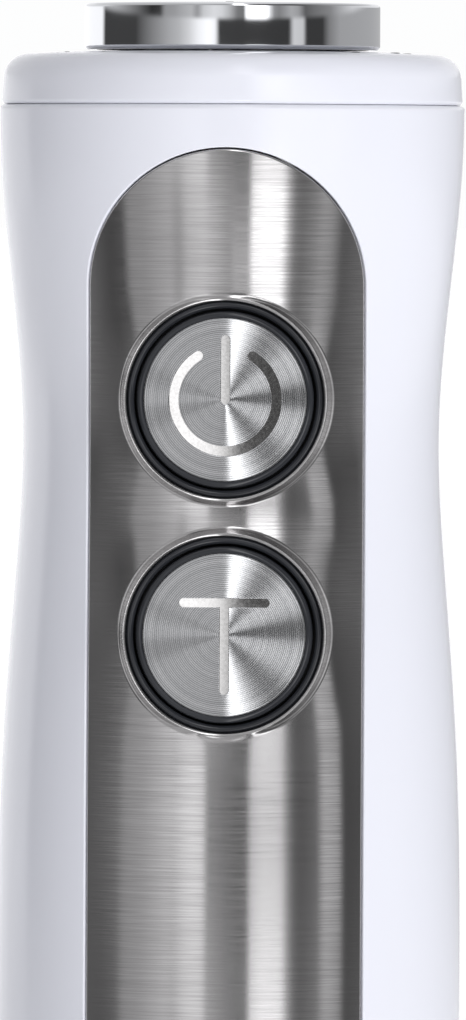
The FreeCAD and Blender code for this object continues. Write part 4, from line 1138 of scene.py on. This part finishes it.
def rib_bar():
    """A bar along Y with round ends, bent to the pad's curve later."""
    work = bmesh.new()
    bmesh.ops.create_uvsphere(work, u_segments=12, v_segments=10, radius=RIB_R * MM)
    bmesh.ops.rotate(work, verts=work.verts, cent=(0, 0, 0), matrix=Matrix.Rotation(math.pi / 2, 3, "X"))
    for vert in work.verts:
        vert.co.y += math.copysign((RIB_HALF - RIB_R) * MM, vert.co.y) if abs(vert.co.y) > 1e-9 else 0.0
    mesh = bpy.data.meshes.new("rib")
    long_edges = [e for e in work.edges if abs(e.verts[0].co.y - e.verts[1].co.y) > RIB_HALF * MM / 2]
    bmesh.ops.subdivide_edges(work, edges=long_edges, cuts=6)
    work.to_mesh(mesh)
    work.free()
    return mesh


def make_ribs(name, side):
    piece = grown(name, rib_bar(), ribs_tree, {"Count": 4, "Pitch": RIB_PITCH * MM,
                                               "Finish": finishes["grey_plastic"]})
    co = np.empty(len(piece.data.vertices) * 3)
    piece.data.vertices.foreach_get("co", co)
    co = co.reshape(-1, 3)
    co[:, 2] += RIB_LOW * MM
    reach = handle_radius(co[:, 2] / MM) * MM + RELEASE_PROUD * MM
    co[:, 0] = side * (co[:, 0] + np.sqrt(reach ** 2 - co[:, 1] ** 2) + RIB_LIFT * MM)
    piece.data.vertices.foreach_set("co", co.reshape(-1))
    tidy_mesh(piece.data)
    return piece


def make_release(name, side):
    def place(flat):
        y, z = flat.T
        reach = handle_radius(z) + RELEASE_PROUD
        return np.stack([side * np.sqrt(reach ** 2 - y ** 2), side * y, z], 1)

    loop = slot_loop(6.5, 187.5, 204.5, 0.8)
    return sheet(name, [(loop, 0.55)], place, 1.3, 3.2)


SIDES = (("right", 1), ("left", -1))
release_right, release_left = (make_release(f"release_pad_{which}", side) for which, side in SIDES)
ribs_right, ribs_left = (make_ribs(f"release_ribs_{which}", side) for which, side in SIDES)
print("release pad and ribs:", len(release_right.data.polygons), len(ribs_right.data.polygons))

# %% [markdown]
# ## Grommet, dial pointer and scale
# Three small things finish the handle: the rubber grommet in the cord inlet, the inlaid pointer on the dial,
# and a scale of dots round it that grow from slow to fast. The dots are a Geometry Nodes repeat as well: points
# on an arc, each carrying a little dome whose size follows its place along the arc.

# %% Grommet and pointer
GROMMET_PROFILE = (
    (3.4, -32.6, 0.3), (3.4, -22.0, 0.3), (6.4, -22.0), (6.4, -24.0), (5.35, -24.0), (5.35, -31.5),
    (6.6, -31.5, 0.2), (6.6, -32.6, 0.5))
grommet = turned("cord_grommet_rubber", rounded(GROMMET_PROFILE), finishes["black_rubber"], sides=72, axis="Y",
                 height=INLET_Z)


def make_pointer():
    """A slim bar with round ends, let into the dial's top towards the front."""
    def place(flat):
        x, y = flat.T
        return np.stack([x, y, np.full(len(x), DIAL_TOP - 0.09)], 1)

    loop = slot_loop(0.6, -16.0, -10.0, 0.2)
    return sheet("dial_pointer_black", [(loop, 0.12)], place, 0.6, 0.4)


pointer = make_pointer()
print("grommet and pointer faces:", len(grommet.data.polygons), len(pointer.data.polygons))


# %% Dial scale
DOT_R, DOT_SQUASH, DOT_SMALLEST, DOT_LARGEST, DOT_SINK = 0.55, 0.12, 0.55, 1.25, 0.10


def make_scale_tree():
    tree, given = new_tree("Dial scale", {
        "Dot": "Geometry", "Count": "Int", "Radius": "Float", "Start": "Float", "Sweep": "Float",
        "Finish": "Material"})
    arc = node(tree, "GeometryNodeCurveArc", {"Radius": given["Radius"], "Start Angle": given["Start"],
                                              "Sweep Angle": given["Sweep"]}, mode="RADIUS")
    points = node(tree, "GeometryNodeCurveToPoints", {"Curve": arc, "Count": given["Count"]}, mode="COUNT")
    share = maths(tree, "DIVIDE", node(tree, "GeometryNodeInputIndex", {}), given["Count"])
    size = node(tree, "ShaderNodeMapRange", {"Value": share, "To Min": DOT_SMALLEST, "To Max": DOT_LARGEST})
    return end_tree(tree, repeat(tree, points, given["Dot"], Scale=size), given["Finish"])


def make_scale():
    work = bmesh.new()
    bmesh.ops.create_uvsphere(work, u_segments=20, v_segments=8, radius=DOT_R * MM)
    bmesh.ops.scale(work, verts=work.verts, vec=(1, 1, DOT_SQUASH))
    mesh = bpy.data.meshes.new("dot")
    work.to_mesh(mesh)
    work.free()
    piece = grown("dial_scale_dots", mesh, make_scale_tree(), {
        "Count": 12, "Radius": 22.0 * MM, "Start": math.radians(135.0 + 90.0), "Sweep": math.radians(-270.0),
        "Finish": finishes["grey_plastic"]})
    piece.data.transform(Matrix.Translation((0, 0, (CAP_TOP - DOT_SINK) * MM)))
    tidy_mesh(piece.data)
    return piece


scale_dots = make_scale()
print("scale dot faces:", len(scale_dots.data.polygons))

# %% [markdown]
# ## Handing the pieces over
# Every piece made here wears its finish, rides on the body it belongs to and stands for the drawn part it
# replaces. The drawn parts that stay, most of them inside the handle, get their finish by their material slot.

# %% Pieces, bodies and finishes
def wear(piece, material):
    piece.data.materials.clear()
    piece.data.materials.append(material)


PIECES = (   # piece, body, slot, nodes it stands for
    (front_panel, "handle", "panel_steel", "front_panel"),
    (front_shell, "handle", "white_shell", "housing_front"),
    (back_shell, "handle", "white_shell", "housing_rear"),
    (top_cap, "handle", "white_shell", "top_cap"),
    (trim_ring, "handle", "foot_steel", "trim_ring"),
    (grommet, "handle", "black_rubber", "cord_grommet"),
    (scale_dots, "handle", "grey_plastic"),
    (power_collar, "handle", "button_black", "button_bezels"),
    (turbo_collar, "handle", "button_black", "button_bezels"),
    (power_body, "power_button", "button_black", "power_button"),
    (turbo_body, "turbo_button", "button_black", "turbo_button"),
    (power_disc, "power_button", "disc_aluminium", "power_disc"),
    (turbo_disc, "turbo_button", "disc_aluminium", "turbo_disc"),
    (power_inlay, "power_button", "disc_aluminium", "power_disc"),
    (turbo_inlay, "turbo_button", "disc_aluminium", "turbo_disc"),
    (speed_dial, "dial", "dial_chrome", "speed_dial"),
    (pointer, "dial", "button_black"),
    (release_right, "release_right", "grey_plastic", "release_button_right"),
    (release_left, "release_left", "grey_plastic", "release_button_left"),
    (ribs_right, "release_right", "grey_plastic"),
    (ribs_left, "release_left", "grey_plastic"),
    (foot_tube, "foot", "foot_steel", "foot_tube"),
    (bell, "foot", "foot_steel", "bell_guard"),
    (bell_bead, "foot", "foot_steel"),
)
OWN_FINISH = {power_disc: disc_finish["power_disc"], turbo_disc: disc_finish["turbo_disc"],
              power_inlay: mark_finish, turbo_inlay: mark_finish}

for piece, body, slot, *replaced in PIECES:
    wear(piece, OWN_FINISH.get(piece, finishes[slot]))
    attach(piece, body)
    if replaced:
        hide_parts(*replaced)

for part in frame["record"]["subparts"]:
    wear(nodes[part["node"]], finishes[part["material_slot"]])

# %% [markdown]
# ## The floor
# A wide pale sheet for the blender to stand on.

# %% Floor
FLOOR_HALF = 60.0
FLOOR_GLOW = 0.86   # the floor gives off most of its own light, so that it meets the backdrop unseen


def make_floor():
    mesh = bpy.data.meshes.new("floor")
    corners = [(x * FLOOR_HALF, y * FLOOR_HALF, 0) for x, y in ((-1, -1), (1, -1), (1, 1), (-1, 1))]
    mesh.from_pydata(corners, [], [(0, 1, 2, 3)])
    floor = add_object("floor", mesh)
    material, tree, shader = finish("pale floor", (0.30, 0.30, 0.30), roughness=0.6)
    feed(tree, shader, {"Emission Color": BACKDROP, "Emission Strength": FLOOR_GLOW})
    floor.data.materials.append(material)
    floor.visible_glossy = False


make_floor()

bpy.context.scene.view_settings.view_transform = "Standard"
